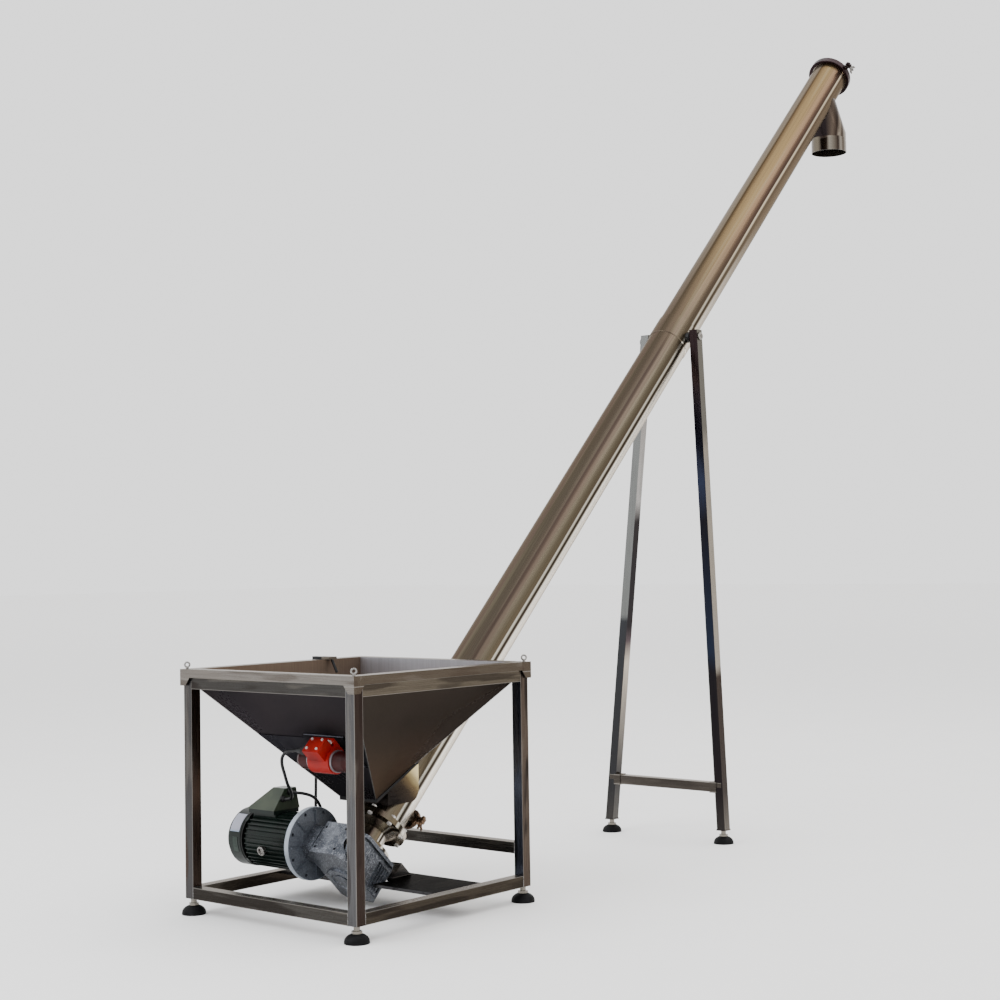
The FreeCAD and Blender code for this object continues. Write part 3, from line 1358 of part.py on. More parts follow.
def make_cables():
    vibrator_exit = vibrator_place.multVec(Vector(60.0, vibrator_hood_half, 69.0))
    vibrator_entry = Vector(terminal_x0 + 38.0, terminal_y0, terminal_split_z + 38.0)
    sensor_entry = Vector(terminal_x0 + 71.0, terminal_y0, terminal_split_z + 58.0)
    keep("cable_glands",
         gland(vibrator_exit, AXIS_Y, AXIS_X, vibrator_gland_flats, vibrator_gland_length),
         gland(vibrator_entry, AXIS_Y * -1, AXIS_X, gland_flats, gland_length),
         gland(sensor_entry, AXIS_Y * -1, AXIS_X, gland_flats, gland_length))

    # The vibrator's cable hangs in a shallow bow from its gland to the motor's terminal box
    start = vibrator_exit + AXIS_Y * cable_grip
    end = vibrator_entry - AXIS_Y * cable_grip
    cord_tube("vibrator_cable", [
        start, start + Vector(0, 80, 0), start + Vector(8, 124, -21), start + Vector(28, 150, -53),
        end + Vector(-103, -125, 100), end + Vector(-75, -105, 68), end + Vector(-33, -83, 28),
        end + Vector(-11, -59, 8), end - Vector(0, 26, 0), end,
    ], cable_diameter)

    # The level probe's cable drops behind the motor flange, crosses the base and climbs to the rim
    start = sensor_entry - AXIS_Y * cable_grip
    floor = post_bottom + frame_tube + cable_diameter / 2 + 0.3
    outside = frame_width + frame_tube
    probe_exit = Vector(probe_x, frame_width + rim_overhang + 16.0, rim_top - 12.0)
    cord_tube("sensor_cable", [
        start, start + Vector(0, -32, 0), Vector(346, 584, 377), Vector(376, 573, 364), Vector(402, 573,
                                                                                               338),
        Vector(422, 580, 300), Vector(436, 590, 250), Vector(442, 602, 194), Vector(448, 618, 144),
        Vector(464, 642, 106), Vector(494, 674, floor), Vector(528, outside - 134, floor),
        Vector(564, outside - 100, floor), Vector(596, outside - 62, floor + 0.7),
        Vector(620, outside - 26, 112), Vector(632, outside - 6, 150), Vector(637, outside, 214),
        Vector(638, outside - 2, 330), Vector(probe_x, outside - 4, 460), Vector(639, outside - 1, 590),
        Vector(641, outside - 4, 700), probe_exit - Vector(0, 0, 50), probe_exit,
    ], cable_diameter)

    clamp = box(probe_x - 20.0, probe_x + 20.0, hopper_y1 - 18.0, frame_width + rim_overhang, rim_top,
                rim_top + 9.0)
    outer = box(probe_x - 11.0, probe_x + 11.0, frame_width + rim_overhang,
                frame_width + rim_overhang + 28.0,
                rim_top - 12.0, rim_top + 9.0)
    stem = rod(5.0, Vector(probe_x, hopper_y1 - 12.0, rim_top + 2.0),
               Vector(probe_x, hopper_y1 - 38.0, rim_top - 46.0))
    keep("level_probe", clamp.fuse([outer, stem]))


def check_and_write():
    """Move everything to the middle of the footprint, test each solid and write the nodes."""
    cords = ("vibrator_cable", "sensor_cable")
    rigid = [solid for name, solids in nodes.items() if name not in cords for solid in solids]
    body = Part.makeCompound(rigid)
    limits = body.optimalBoundingBox(False, False)
    shift = Vector(-(limits.XMin + limits.XMax) / 2, -(limits.YMin + limits.YMax) / 2, -limits.ZMin)
    os.makedirs("parts", exist_ok=True)
    for name, solids in nodes.items():
        for solid in solids:
            if not solid.isValid() or solid.Volume <= 0:
                print("faulty solid in", name, solid.Volume)
        shape = Part.makeCompound(solids) if len(solids) > 1 else solids[0].copy()
        shape.translate(shift)
        shape.exportStep("parts/" + name + ".step")
    print("moved by", round(shift.x, 3), round(shift.y, 3), round(shift.z, 3))
    print("size", round(limits.XLength, 1), round(limits.YLength, 1), round(limits.ZLength, 1), "nodes",
          len(nodes))


make_frame()
make_hopper()
make_tube(make_boot())
make_auger()
make_worm()
make_gear_box()
make_input_flange()
make_motor()
make_bearing_housing()
make_bracket()
make_vibrator()
make_support()
make_end()
make_cables()
check_and_write()
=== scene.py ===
import bpy
import math
from mathutils import Matrix, Vector


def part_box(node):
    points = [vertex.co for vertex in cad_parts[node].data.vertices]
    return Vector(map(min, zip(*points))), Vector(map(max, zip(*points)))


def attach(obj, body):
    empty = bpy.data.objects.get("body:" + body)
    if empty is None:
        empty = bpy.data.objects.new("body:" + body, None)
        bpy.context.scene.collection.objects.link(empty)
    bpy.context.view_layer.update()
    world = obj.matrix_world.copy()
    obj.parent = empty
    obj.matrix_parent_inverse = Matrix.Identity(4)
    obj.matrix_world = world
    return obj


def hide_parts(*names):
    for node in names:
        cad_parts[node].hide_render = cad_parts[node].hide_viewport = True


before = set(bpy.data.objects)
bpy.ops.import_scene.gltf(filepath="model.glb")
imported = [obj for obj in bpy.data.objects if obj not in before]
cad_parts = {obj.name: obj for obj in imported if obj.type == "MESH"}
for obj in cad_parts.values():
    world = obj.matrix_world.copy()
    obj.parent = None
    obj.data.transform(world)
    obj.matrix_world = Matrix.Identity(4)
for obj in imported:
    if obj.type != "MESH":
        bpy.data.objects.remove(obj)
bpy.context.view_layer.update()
bpy.ops.object.select_all(action="DESELECT")

# The camera
# A long lens at the operator's eye height, off the corner of the hopper stand.
# Places are measured from the stand's rear right post, at floor level.
corner = Vector((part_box("post_rear_right")[0].x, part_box("post_rear_right")[0].y, 0.0))


def spot(x, y, z):
    """A point given in millimetres from the stand's rear right corner."""
    return corner + Vector((x, y, z)) / 1000


eye_place = (-3794.38, -3774.19, 1157.89)
yaw, pitch, roll = math.radians(39.972), math.radians(2.031), math.radians(-0.864)
ahead = Vector((math.cos(yaw) * math.cos(pitch), math.sin(yaw) * math.cos(pitch), math.sin(pitch)))
level = Vector((math.sin(yaw), -math.cos(yaw), 0.0))
upright = level.cross(ahead)
rightward = math.cos(roll) * level + math.sin(roll) * upright
upward = math.cos(roll) * upright - math.sin(roll) * level
lens = bpy.data.cameras.new("eye")
lens.sensor_width = 36.0
lens.lens = 62.644
lens.clip_end = 400.0
eye = bpy.data.objects.new("eye", lens)
bpy.context.collection.objects.link(eye)
turn = Matrix((rightward, upward, -ahead)).transposed().to_4x4()
eye.matrix_world = Matrix.Translation(spot(*eye_place)) @ turn
bpy.context.scene.camera = eye

# The studio
# A pale floor under the feet, a soft pale sky and three large soft lamps.
# The sky is a little dimmer and warmer on the hopper's right, as in a workshop.
bright_side = (-0.707, 0.707, 0.0)      # the heading where the sky is brightest
sky_strength = 1.7
sky_tints = ((0.0, (0.66, 0.62, 0.58)), (0.3, (1.0, 1.0, 1.0)))
studio = bpy.data.worlds.new("studio")
studio.use_nodes = True
air = studio.node_tree
heading = air.nodes.new("ShaderNodeTexCoord")
across = air.nodes.new("ShaderNodeVectorMath")
across.operation = "DOT_PRODUCT"
across.inputs[1].default_value = bright_side
spread = air.nodes.new("ShaderNodeMapRange")
spread.inputs["From Min"].default_value = -1.0
dusk = air.nodes.new("ShaderNodeValToRGB")
for stop, (position, tint) in zip(dusk.color_ramp.elements, sky_tints):
    stop.position = position
    stop.color = (*tint, 1.0)
air.links.new(heading.outputs["Generated"], across.inputs[0])
air.links.new(across.outputs["Value"], spread.inputs["Value"])
air.links.new(spread.outputs["Result"], dusk.inputs["Fac"])
sky = air.nodes["Background"]
air.links.new(dusk.outputs["Color"], sky.inputs["Color"])
sky.inputs["Strength"].default_value = sky_strength
bpy.context.scene.world = studio


def soft_lamp(name, place, target, width, height, power, tint):
    """A rectangular soft lamp that looks at a target point."""
    data = bpy.data.lights.new(name, "AREA")
    data.shape = "RECTANGLE"
    data.size, data.size_y = width, height
    data.energy = power
    data.color = tint
    lamp = bpy.data.objects.new(name, data)
    bpy.context.collection.objects.link(lamp)
    lamp.location = place
    lamp.rotation_mode = "QUATERNION"
    lamp.rotation_quaternion = (Vector(target) - Vector(place)).to_track_quat("-Z", "Y")


soft_lamp("window", place=(-6.0, 1.5, 5.0), target=(0.0, 0.0, 1.0), width=4.0, height=4.0,
          power=260.0, tint=(0.95, 0.97, 1.0))
soft_lamp("overhead", place=(1.5, -2.0, 8.0), target=(0.0, 0.0, 1.0), width=8.0, height=6.0,
          power=300.0, tint=(1.0, 0.98, 0.95))
soft_lamp("fill", place=(2.0, -9.0, 2.5), target=(0.0, 0.0, 1.2), width=6.0, height=3.0,
          power=60.0, tint=(1.0, 0.93, 0.85))

# The stand
# Square stainless tube, 38 mm, cut to length and welded at every joint, with a satin
# polish along each tube. The posts run through, and the rails butt against them.


class Wire:
    """A value that runs between shader nodes. Arithmetic on it adds Math nodes."""

    def __init__(self, finish, socket):
        self.finish = finish
        self.socket = socket

    def math(self, operation, first, second):
        return self.finish.node("ShaderNodeMath", {"operation": operation}, {0: first, 1: second})

    def __add__(self, other):
        return self.math("ADD", self, other)

    def __sub__(self, other):
        return self.math("SUBTRACT", self, other)

    def __rsub__(self, other):
        return self.math("SUBTRACT", other, self)

    def __mul__(self, other):
        return self.math("MULTIPLY", self, other)

    def magnitude(self):
        return self.math("ABSOLUTE", self, 0.0)

    def fraction(self):
        return self.math("FRACT", self, 0.0)

    def root(self):
        return self.math("SQRT", self, 0.0)

    __radd__ = __add__
    __rmul__ = __mul__


class Finish:
    """A material that is being put together round its one Principled shader."""

    def __init__(self, name):
        self.material = bpy.data.materials.new(name)
        self.material.use_nodes = True
        self.tree = self.material.node_tree
        self.shader = self.tree.nodes["Principled BSDF"]
        self.place = self.node("ShaderNodeTexCoord", {}, {}, "Object")
        self.facing = self.node("ShaderNodeTexCoord", {}, {}, "Normal")

    def node(self, kind, settings, sockets, output=0):
        """Add a node, set it up, connect or fill its sockets, and return one output."""
        node = self.tree.nodes.new(kind)
        for key, value in settings.items():
            if key == "stops":
                ramp = node.color_ramp
                while len(ramp.elements) < len(value):
                    ramp.elements.new(1.0)
                for element, (position, tint) in zip(ramp.elements, value):
                    element.position = position
                    element.color = (*tint, 1.0)
            else:
                setattr(node, key, value)
        for key, value in sockets.items():
            self.feed(node.inputs[key], value)
        return Wire(self, node.outputs[output])

    def feed(self, socket, value):
        if isinstance(value, Wire):
            self.tree.links.new(value.socket, socket)
        elif isinstance(value, tuple) and len(value) == 3 and socket.type == "RGBA":
            socket.default_value = (*value, 1.0)
        else:
            socket.default_value = value

    def set(self, **values):
        """Fill or connect the shader's sockets, with _ for a space in a name."""
        for key, value in values.items():
            self.feed(self.shader.inputs[key.replace("_", " ")], value)

    def mapped(self, scale=(1, 1, 1), turned=(0, 0, 0), origin=(0, 0, 0)):
        """Object coordinates in a turned and scaled frame with its own origin."""
        local = self.node("ShaderNodeMapping", {"vector_type": "TEXTURE"},
                          {"Vector": self.place, "Location": tuple(origin), "Rotation": turned})
        return self.node("ShaderNodeMapping", {}, {"Vector": local, "Scale": scale})

    def tone(self):
        """The value that feeds the shader's base colour so far."""
        return Wire(self, self.shader.inputs["Base Color"].links[0].from_socket)

    def split(self, vector):
        """The three components of a vector."""
        east = self.node("ShaderNodeSeparateXYZ", {}, {0: vector})
        outputs = east.socket.node.outputs
        return east, Wire(self, outputs[1]), Wire(self, outputs[2])

    def noise(self, vector, scale, detail=3.0, roughness=0.5):
        """A cloudy pattern from 0 to 1."""
        return self.node("ShaderNodeTexNoise", {},
                         {"Vector": vector, "Scale": scale, "Detail": detail, "Roughness": roughness})

    def ramp(self, factor, *stops):
        """Colours set out along a value."""
        return self.node("ShaderNodeValToRGB", {"stops": stops}, {"Fac": factor})

    def clamp(self, value, low, high, out_low=0.0, out_high=1.0):
        """Stretch the values between low and high to the output range."""
        return self.node("ShaderNodeMapRange", {"interpolation_type": "SMOOTHSTEP"},
                         {"Value": value, "From Min": low, "From Max": high,
                          "To Min": out_low, "To Max": out_high})

    def blend(self, factor, first, second):
        """Mix two colours."""
        node = self.node("ShaderNodeMix", {"data_type": "RGBA"}, {0: factor}, 2)
        self.feed(node.socket.node.inputs[6], first)
        self.feed(node.socket.node.inputs[7], second)
        return node

    def bump(self, height, strength, distance):
        """A surface normal that follows a pattern's height."""
        return self.node("ShaderNodeBump", {},
                         {"Height": height, "Strength": strength, "Distance": distance})


lamp_share = 0.46       # a polished face under these lamps looks right with this part of its colour


def shade(red, green, blue):
    """A linear colour that looks like these eight-bit screen values under these lamps."""
    return tuple(lamp_share * ((value / 255 + 0.055) / 1.055) ** 2.4 for value in (red, green, blue))


def glint(red, green, blue):
    """The same colour at its full strength, for painted light, highlights and reflections and bright metal.
    """
    return tuple(value / lamp_share for value in shade(red, green, blue))


def wear(finish, node_name):
    """Give a carried-over piece its finish."""
    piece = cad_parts[node_name]
    piece.data.materials.clear()
    piece.data.materials.append(finish.material)


def stretched(along, slow, fast):
    """A pattern scale that runs slowly along one axis and fast across it."""
    return tuple(slow if axis == along else fast for axis in "xyz")


def side_masks(finish):
    """Masks of the faces that look rearward, to the right side and up."""
    east, north, up = finish.split(finish.facing)
    return (finish.clamp(east, -0.95, -0.55, 1.0, 0.0), finish.clamp(north, -0.95, -0.55, 1.0, 0.0),
            finish.clamp(up, 0.55, 0.95))


def satin(finish, rear, right, top, dark_reflection_and_grain, amount, streak, grain, edge):
    """Side tones and dark and pale streaks as painted reflection, hairline grain, a painted arris highlight.
    """
    rear_side, right_side, top_side = side_masks(finish)
    tone = finish.blend(rear_side, plain_side, rear)
    tone = finish.blend(right_side, tone, right)
    tone = finish.blend(top_side, tone, top)
    tone = finish.blend(finish.clamp(streak, 0.52, 0.6, 0.0, amount), tone, dark_reflection_and_grain)
    tone = finish.blend(finish.clamp(streak, 0.34, 0.42, 0.26, 0.0), tone, pale_reflection_streak)
    tone = finish.blend(finish.clamp(grain, 0.35, 0.65, 0.0, 0.28), tone, dark_reflection_and_grain)
    tone = finish.blend(edge * 0.45, tone, corner_highlight)
    finish.set(Base_Color=tone, Metallic=0.92, Roughness=finish.clamp(grain, 0.3, 0.7, 0.2, 0.36))
    finish.set(Normal=finish.bump(grain, 0.05, 0.0003), Specular_Tint=(0.6, 0.57, 0.54))


half_tube = 0.019
arris = (0.0168, 0.0182)        # how far from a tube's middle its bright corner starts and is full
# Tones of painted light and reflection; the top is painted paler, as lit from above.
plain_side = shade(112, 104, 96)
pale_top = shade(178, 170, 160)
# A pale streak of painted reflection, and a painted highlight on each corner.
pale_reflection_streak = shade(172, 164, 154)
corner_highlight = shade(212, 207, 200)


def dress_post(node_name, rear, right, dark_reflection_and_grain, amount):
    """A post's satin, with the painted highlight on its corners found from the post's own middle."""
    low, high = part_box(node_name)
    middle = (low + high) / 2
    finish = Finish(node_name + "_steel")
    x, y = finish.split(finish.place)[:2]
    off_x = (x - middle.x).magnitude()
    off_y = (y - middle.y).magnitude()
    edge = finish.clamp(off_x.math("MINIMUM", off_x, off_y), *arris)
    streak = finish.noise(finish.mapped(stretched("z", 3.2, 22.0), origin=tuple(low)), 1.0, 2.0, 0.5)
    grain = finish.noise(finish.mapped(stretched("z", 8.0, 380.0)), 1.0, 2.0)
    satin(finish, rear, right, rear, dark_reflection_and_grain, amount, streak, grain, edge)
    wear(finish, node_name)


# Each post's side tones and dark streaks are painted reflections, which differ from post to post.
dress_post("post_rear_right", rear=shade(116, 116, 118), right=shade(70, 58, 53),
           dark_reflection_and_grain=shade(50, 40, 37), amount=0.55)
dress_post("post_rear_left", rear=shade(94, 95, 97), right=shade(84, 70, 62),
           dark_reflection_and_grain=shade(84, 62, 50), amount=0.6)
dress_post("post_front_right", rear=shade(96, 101, 116), right=shade(112, 98, 87),
           dark_reflection_and_grain=shade(26, 24, 28), amount=0.75)
dress_post("post_front_left", rear=shade(124, 124, 126), right=shade(92, 80, 71),
           dark_reflection_and_grain=shade(50, 40, 37), amount=0.55)


def dress_rails(node_name, rear, right, top, dark_reflection_and_grain, amount, middles):
    """Rails along both axes: the grain turns with the rail, and each arris has a painted highlight."""
    finish = Finish(node_name + "_steel")
    x, z = finish.split(finish.place)[::2]
    low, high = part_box("top_rails")
    middle_x, end_rail = (low.x + high.x) / 2, (high.x - low.x) / 2 - 2 * half_tube
    across_x = finish.clamp((x - middle_x).magnitude(), end_rail - 0.001, end_rail - 0.0005)
    streak_x = finish.noise(finish.mapped(stretched("x", 2.6, 24.0)), 1.0, 2.0, 0.5)
    streak_y = finish.noise(finish.mapped(stretched("y", 2.6, 24.0)), 1.0, 2.0, 0.5)
    grain_x = finish.noise(finish.mapped(stretched("x", 8.0, 380.0)), 1.0, 2.0)
    grain_y = finish.noise(finish.mapped(stretched("y", 8.0, 380.0)), 1.0, 2.0)
    edge = 0.0
    for middle in middles:
        off = (z - middle).magnitude()
        on_rail = finish.clamp(off, half_tube + 0.001, half_tube + 0.002, 1.0, 0.0)
        edge = finish.clamp(off, *arris) * on_rail + edge
    satin(finish, rear, right, top, dark_reflection_and_grain, amount, streak_x * (1 - across_x) + streak_y * across_x,
          grain_x * (1 - across_x) + grain_y * across_x, edge)
    wear(finish, node_name)
    return finish


# The rails' side tones and dark streaks are painted reflections; their tops are painted paler, as lit.
dress_rails("top_rails", rear=shade(92, 90, 88), right=shade(126, 116, 101), top=pale_top,
            dark_reflection_and_grain=shade(50, 42, 38), amount=0.6, middles=(0.768,))
dress_rails("base_rails", rear=shade(92, 89, 85), right=shade(84, 76, 66), top=shade(150, 143, 134),
            dark_reflection_and_grain=shade(42, 36, 33), amount=0.65, middles=(0.072, 0.182))
dress_rails("gearbox_bracket", rear=shade(150, 152, 156), right=shade(96, 94, 94),
            top=shade(120, 120, 122), dark_reflection_and_grain=shade(46, 42, 42), amount=0.5, middles=(0.115,))

# The gear box's plate
# Hot-rolled plate that lies across the stand's base rails and carries the gear box. It is
# left dull and dark.
# Its side tones and streaks are painted light and reflection, and its arris a painted highlight.
mill_plate = dress_rails("gearbox_base_plate", rear=shade(104, 104, 106), right=shade(70, 68, 68),
                         top=shade(62, 59, 56), dark_reflection_and_grain=shade(30, 27, 26), amount=0.6, middles=(0.086,))
mill_plate.set(Specular_Tint=(0.12, 0.11, 0.1), Specular_IOR_Level=0.1)

# The hopper
# Folded 3 mm stainless sheet, welded along its four corners, with a flat folded rim.
# Its slopes face the floor and are painted dark and even as shade; its inside is painted paler as light.
sheet_fold = 0.744


def dress_sheet(node_name):
    """Mill-finished sheet: painted shade on its outer slopes, painted light inside and on the collar."""
    finish = Finish(node_name + "_steel")
    east, up = finish.split(finish.facing)[::2]
    z = finish.split(finish.place)[2]
    rear_side = finish.clamp(east, -0.5, -0.3, 1.0, 0.0)
    # Painted shade and reflection: the right slope lighter towards the bottom, the rear slope darker.
    low_right = finish.blend(finish.clamp(z, 0.40, 0.66), shade(132, 116, 102), shade(88, 81, 75))
    outer = finish.blend(rear_side, low_right, shade(86, 83, 89))
    # Painted light inside: cool and pale on the walls that face rearward, warmer elsewhere.
    inner = finish.blend(rear_side, glint(126, 110, 96), glint(178, 178, 185))
    open_side = finish.clamp(up, 0.05, 0.3)
    collar = finish.clamp(z, sheet_fold, sheet_fold + 0.002)
    tone = finish.blend(open_side.math("MAXIMUM", open_side, collar), outer, inner)
    mill = finish.noise(finish.mapped((3.0, 3.0, 1.2)), 1.0, 2.0)
    grain = finish.noise(finish.mapped((160.0, 160.0, 5.0)), 1.0, 2.0)
    tone = finish.blend(finish.clamp(mill, 0.3, 0.7, 0.0, 0.16), tone, shade(116, 107, 98))
    tone = finish.blend(finish.clamp(grain, 0.3, 0.7, 0.0, 0.12), tone, shade(60, 54, 52))
    finish.set(Base_Color=tone, Metallic=0.9, Roughness=finish.clamp(mill, 0.3, 0.7, 0.34, 0.44))
    finish.set(Normal=finish.bump(grain, 0.04, 0.0003), Specular_Tint=(0.25, 0.23, 0.22),
               Specular_IOR_Level=0.15)
    wear(finish, node_name)


dress_sheet("hopper_shell")
# The rim's side tones and streaks are painted light and reflection, its arris a painted highlight.
dress_rails("hopper_rim", rear=shade(168, 162, 156), right=shade(114, 103, 90), top=pale_top,
            dark_reflection_and_grain=shade(84, 70, 60), amount=0.4, middles=(0.801,))

# The weld seams
# Thin ripples of weld metal down the hopper's four corners and round the base rails'
# ends, brushed bright after welding.


def choose(test):
    """Select the faces whose middle and normal pass a test."""
    bpy.ops.mesh.select_mode(type="FACE")
    bpy.ops.mesh.select_all(action="DESELECT")
    bpy.ops.object.mode_set(mode="OBJECT")
    for face in bpy.context.object.data.polygons:
        face.select = test(face.center, face.normal)
    bpy.ops.object.mode_set(mode="EDIT")


def weld_run(start, end, radius):
    """A line of weld ripples: one drop shaped from a cylinder and repeated along the joint."""
    start, end = Vector(start), Vector(end)
    pitch = radius * 1.6
    bpy.ops.mesh.primitive_cylinder_add(vertices=8, radius=radius, depth=pitch * 1.25)
    drop = bpy.context.object
    bpy.ops.object.mode_set(mode="EDIT")
    choose(lambda middle, normal: normal.z > 0.9)
    bpy.ops.transform.resize(value=(0.62, 0.62, 1.0))
    bpy.ops.object.mode_set(mode="OBJECT")
    row = drop.modifiers.new("row", "ARRAY")
    row.use_relative_offset = False
    row.use_constant_offset = True
    row.constant_offset_displace = (0.0, 0.0, pitch)
    row.count = max(2, round((end - start).length / pitch))
    bpy.ops.object.modifier_apply(modifier="row")
    drop.rotation_mode = "QUATERNION"
    drop.rotation_quaternion = (end - start).to_track_quat("Z", "Y")
    drop.location = start
    bpy.ops.object.transform_apply(location=True, rotation=True, scale=True)
    return drop


def fasten(piece, name, finish):
    """Name a finished piece, dress it and fix it to the frame."""
    piece.name = name
    piece.data.name = name
    piece.data.materials.clear()
    piece.data.materials.append(finish.material)
    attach(piece, "frame")
    piece.select_set(False)


def join(pieces):
    """Join like pieces into one."""
    bpy.ops.object.select_all(action="DESELECT")
    for piece in pieces:
        piece.select_set(True)
    bpy.context.view_layer.objects.active = pieces[0]
    bpy.ops.object.join()
    return bpy.context.object


weld_metal = Finish("weld_metal")
weld_ripple = weld_metal.noise(weld_metal.place, 240.0, 3.0)
weld_tone = weld_metal.blend(weld_metal.clamp(weld_ripple, 0.3, 0.7), shade(120, 114, 110),
                             shade(198, 196, 196))
weld_metal.set(Base_Color=weld_tone, Metallic=0.9,
               Roughness=weld_metal.clamp(weld_ripple, 0.3, 0.7, 0.3, 0.45))

corner_weld, frame_weld = 0.0022, 0.0016
fold_height, outlet_rear, outlet_front = 745, 368, 468
seams = []
for x, outlet_x, outlet_z in ((40, 415, outlet_rear), (800, 605, outlet_front)):
    for y, outlet_y in ((40, 316), (760, 484)):
        seams.append(weld_run(spot(x, y, fold_height), spot(outlet_x, outlet_y, outlet_z), corner_weld))
fasten(join(seams), "hopper_corner_welds", weld_metal)

tube, stand_length, stand_width = 38, 840, 800
low_rail, front_rail = 53, 163
front_x, left_y = stand_length - tube, stand_width - tube
seams = []
for x in (tube, front_x):
    for y in (0, tube, left_y, stand_width):
        seams.append(weld_run(spot(x, y, low_rail + 1), spot(x, y, low_rail + tube - 1), frame_weld))
for y in (tube, left_y):
    for x, bottom in ((0, low_rail), (tube, low_rail),
                      (front_x, front_rail), (stand_length, front_rail)):
        seams.append(weld_run(spot(x, y, bottom + 1), spot(x, y, bottom + tube - 1), frame_weld))
    for x, bottom in ((0, low_rail), (front_x, front_rail)):
        over = bottom + tube
        seams.append(weld_run(spot(x + 1, y, over), spot(x + tube - 1, y, over), frame_weld))
fasten(join(seams), "stand_welds", weld_metal)

# The vibrator's plate
# A thick plate on a thin doubler sheet, both flat on the hopper's rear slope. A thin band
# near the plate's sheared upper edge is a painted highlight.
plate_steel = Finish("doubler_steel")
plate_mill = plate_steel.noise(plate_steel.mapped((3.0, 8.0, 3.0)), 1.0, 2.0)
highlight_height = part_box("vibrator_plate")[1].z - 0.003
edge_highlight = plate_steel.clamp(plate_steel.split(plate_steel.place)[2], highlight_height - 0.0005,
                                 highlight_height + 0.0005)
plate_tone = plate_steel.blend(plate_steel.clamp(plate_mill, 0.35, 0.65), shade(72, 71, 77),
                               shade(92, 90, 95))
plate_steel.set(Base_Color=plate_steel.blend(edge_highlight, plate_tone, glint(176, 178, 190)),
                Metallic=0.9, Roughness=plate_steel.clamp(plate_mill, 0.3, 0.7, 0.3, 0.42))
plate_steel.set(Specular_Tint=(0.25, 0.25, 0.26), Specular_IOR_Level=0.15)
wear(plate_steel, "vibrator_plate")

# The inlet boot
# A shroud of bent stainless sheet on the tube. It closes the gap to the hopper's outlet,
# with a rubber gasket between.
boot_steel = Finish("boot_steel")
boot_x, boot_z = boot_steel.split(boot_steel.place)[::2]
boot_rise = boot_x + boot_z - corner.x
boot_brush = boot_steel.noise(boot_steel.mapped((14.0, 14.0, 60.0)), 1.0, 2.0)
# The tone runs from painted shade, dark brown at the rear and low, to a golden painted highlight at the
# front tip.
boot_tone = boot_steel.ramp(boot_steel.clamp(boot_rise + boot_brush * 0.03, 0.86, 1.09),
                            (0.0, shade(40, 32, 28)), (0.4, shade(78, 64, 50)),
                            (0.68, shade(140, 118, 84)), (0.86, glint(150, 134, 96)),
                            (1.0, glint(226, 208, 156)))
boot_steel.set(Base_Color=boot_tone, Metallic=0.9,
               Roughness=boot_steel.clamp(boot_brush, 0.3, 0.7, 0.24, 0.36))
wear(boot_steel, "inlet_boot")

# The conveyor tube
# Two lengths of 168 mm stainless pipe at 45 degrees, polished along their length.
# Straight bands of painted reflection run the whole way, brown and olive below and golden above.
tube_turn = (0.0, math.radians(45.0), 0.0)
tube_origin = tuple(spot(241.3, 400.0, 0.0))
socket_seam = 2.934                     # metres up the tube's own axis
golden_from, golden_full = 2.7, 3.9     # metres up it where the tones begin to turn and are golden
band_start = 218.8                      # degrees round the tube to the first band
lower_reflection_bands = (
    (0.0, shade(146, 134, 122)), (0.1, shade(124, 108, 97)), (0.12, shade(106, 97, 82)),
    (0.195, shade(97, 87, 76)), (0.205, shade(72, 60, 54)), (0.22, shade(84, 72, 64)),
    (0.235, shade(128, 113, 100)), (0.27, shade(144, 134, 115)), (0.3, shade(123, 113, 93)),
    (0.325, shade(116, 104, 86)), (0.335, glint(212, 210, 200)), (0.343, glint(170, 166, 152)),
    (0.352, shade(84, 76, 64)), (0.362, shade(54, 48, 40)), (0.372, shade(150, 140, 126)),
    (0.384, glint(252, 246, 234)), (0.44, glint(244, 236, 222)), (0.5, glint(190, 180, 166)),
    (0.56, shade(118, 108, 96)), (0.78, shade(88, 78, 68)), (1.0, shade(146, 134, 122)))
upper_reflection_bands = (
    (0.0, shade(204, 197, 186)), (0.105, shade(176, 162, 144)), (0.125, shade(92, 76, 56)),
    (0.145, shade(142, 120, 88)), (0.22, shade(154, 130, 92)), (0.265, shade(164, 135, 108)),
    (0.3, shade(126, 101, 89)), (0.32, shade(108, 88, 78)), (0.328, glint(232, 220, 196)),
    (0.34, glint(180, 166, 144)), (0.348, shade(126, 110, 94)), (0.38, shade(170, 152, 130)),
    (0.46, shade(186, 170, 150)), (0.56, shade(124, 110, 94)), (0.75, shade(100, 88, 74)),
    (1.0, shade(204, 197, 186)))


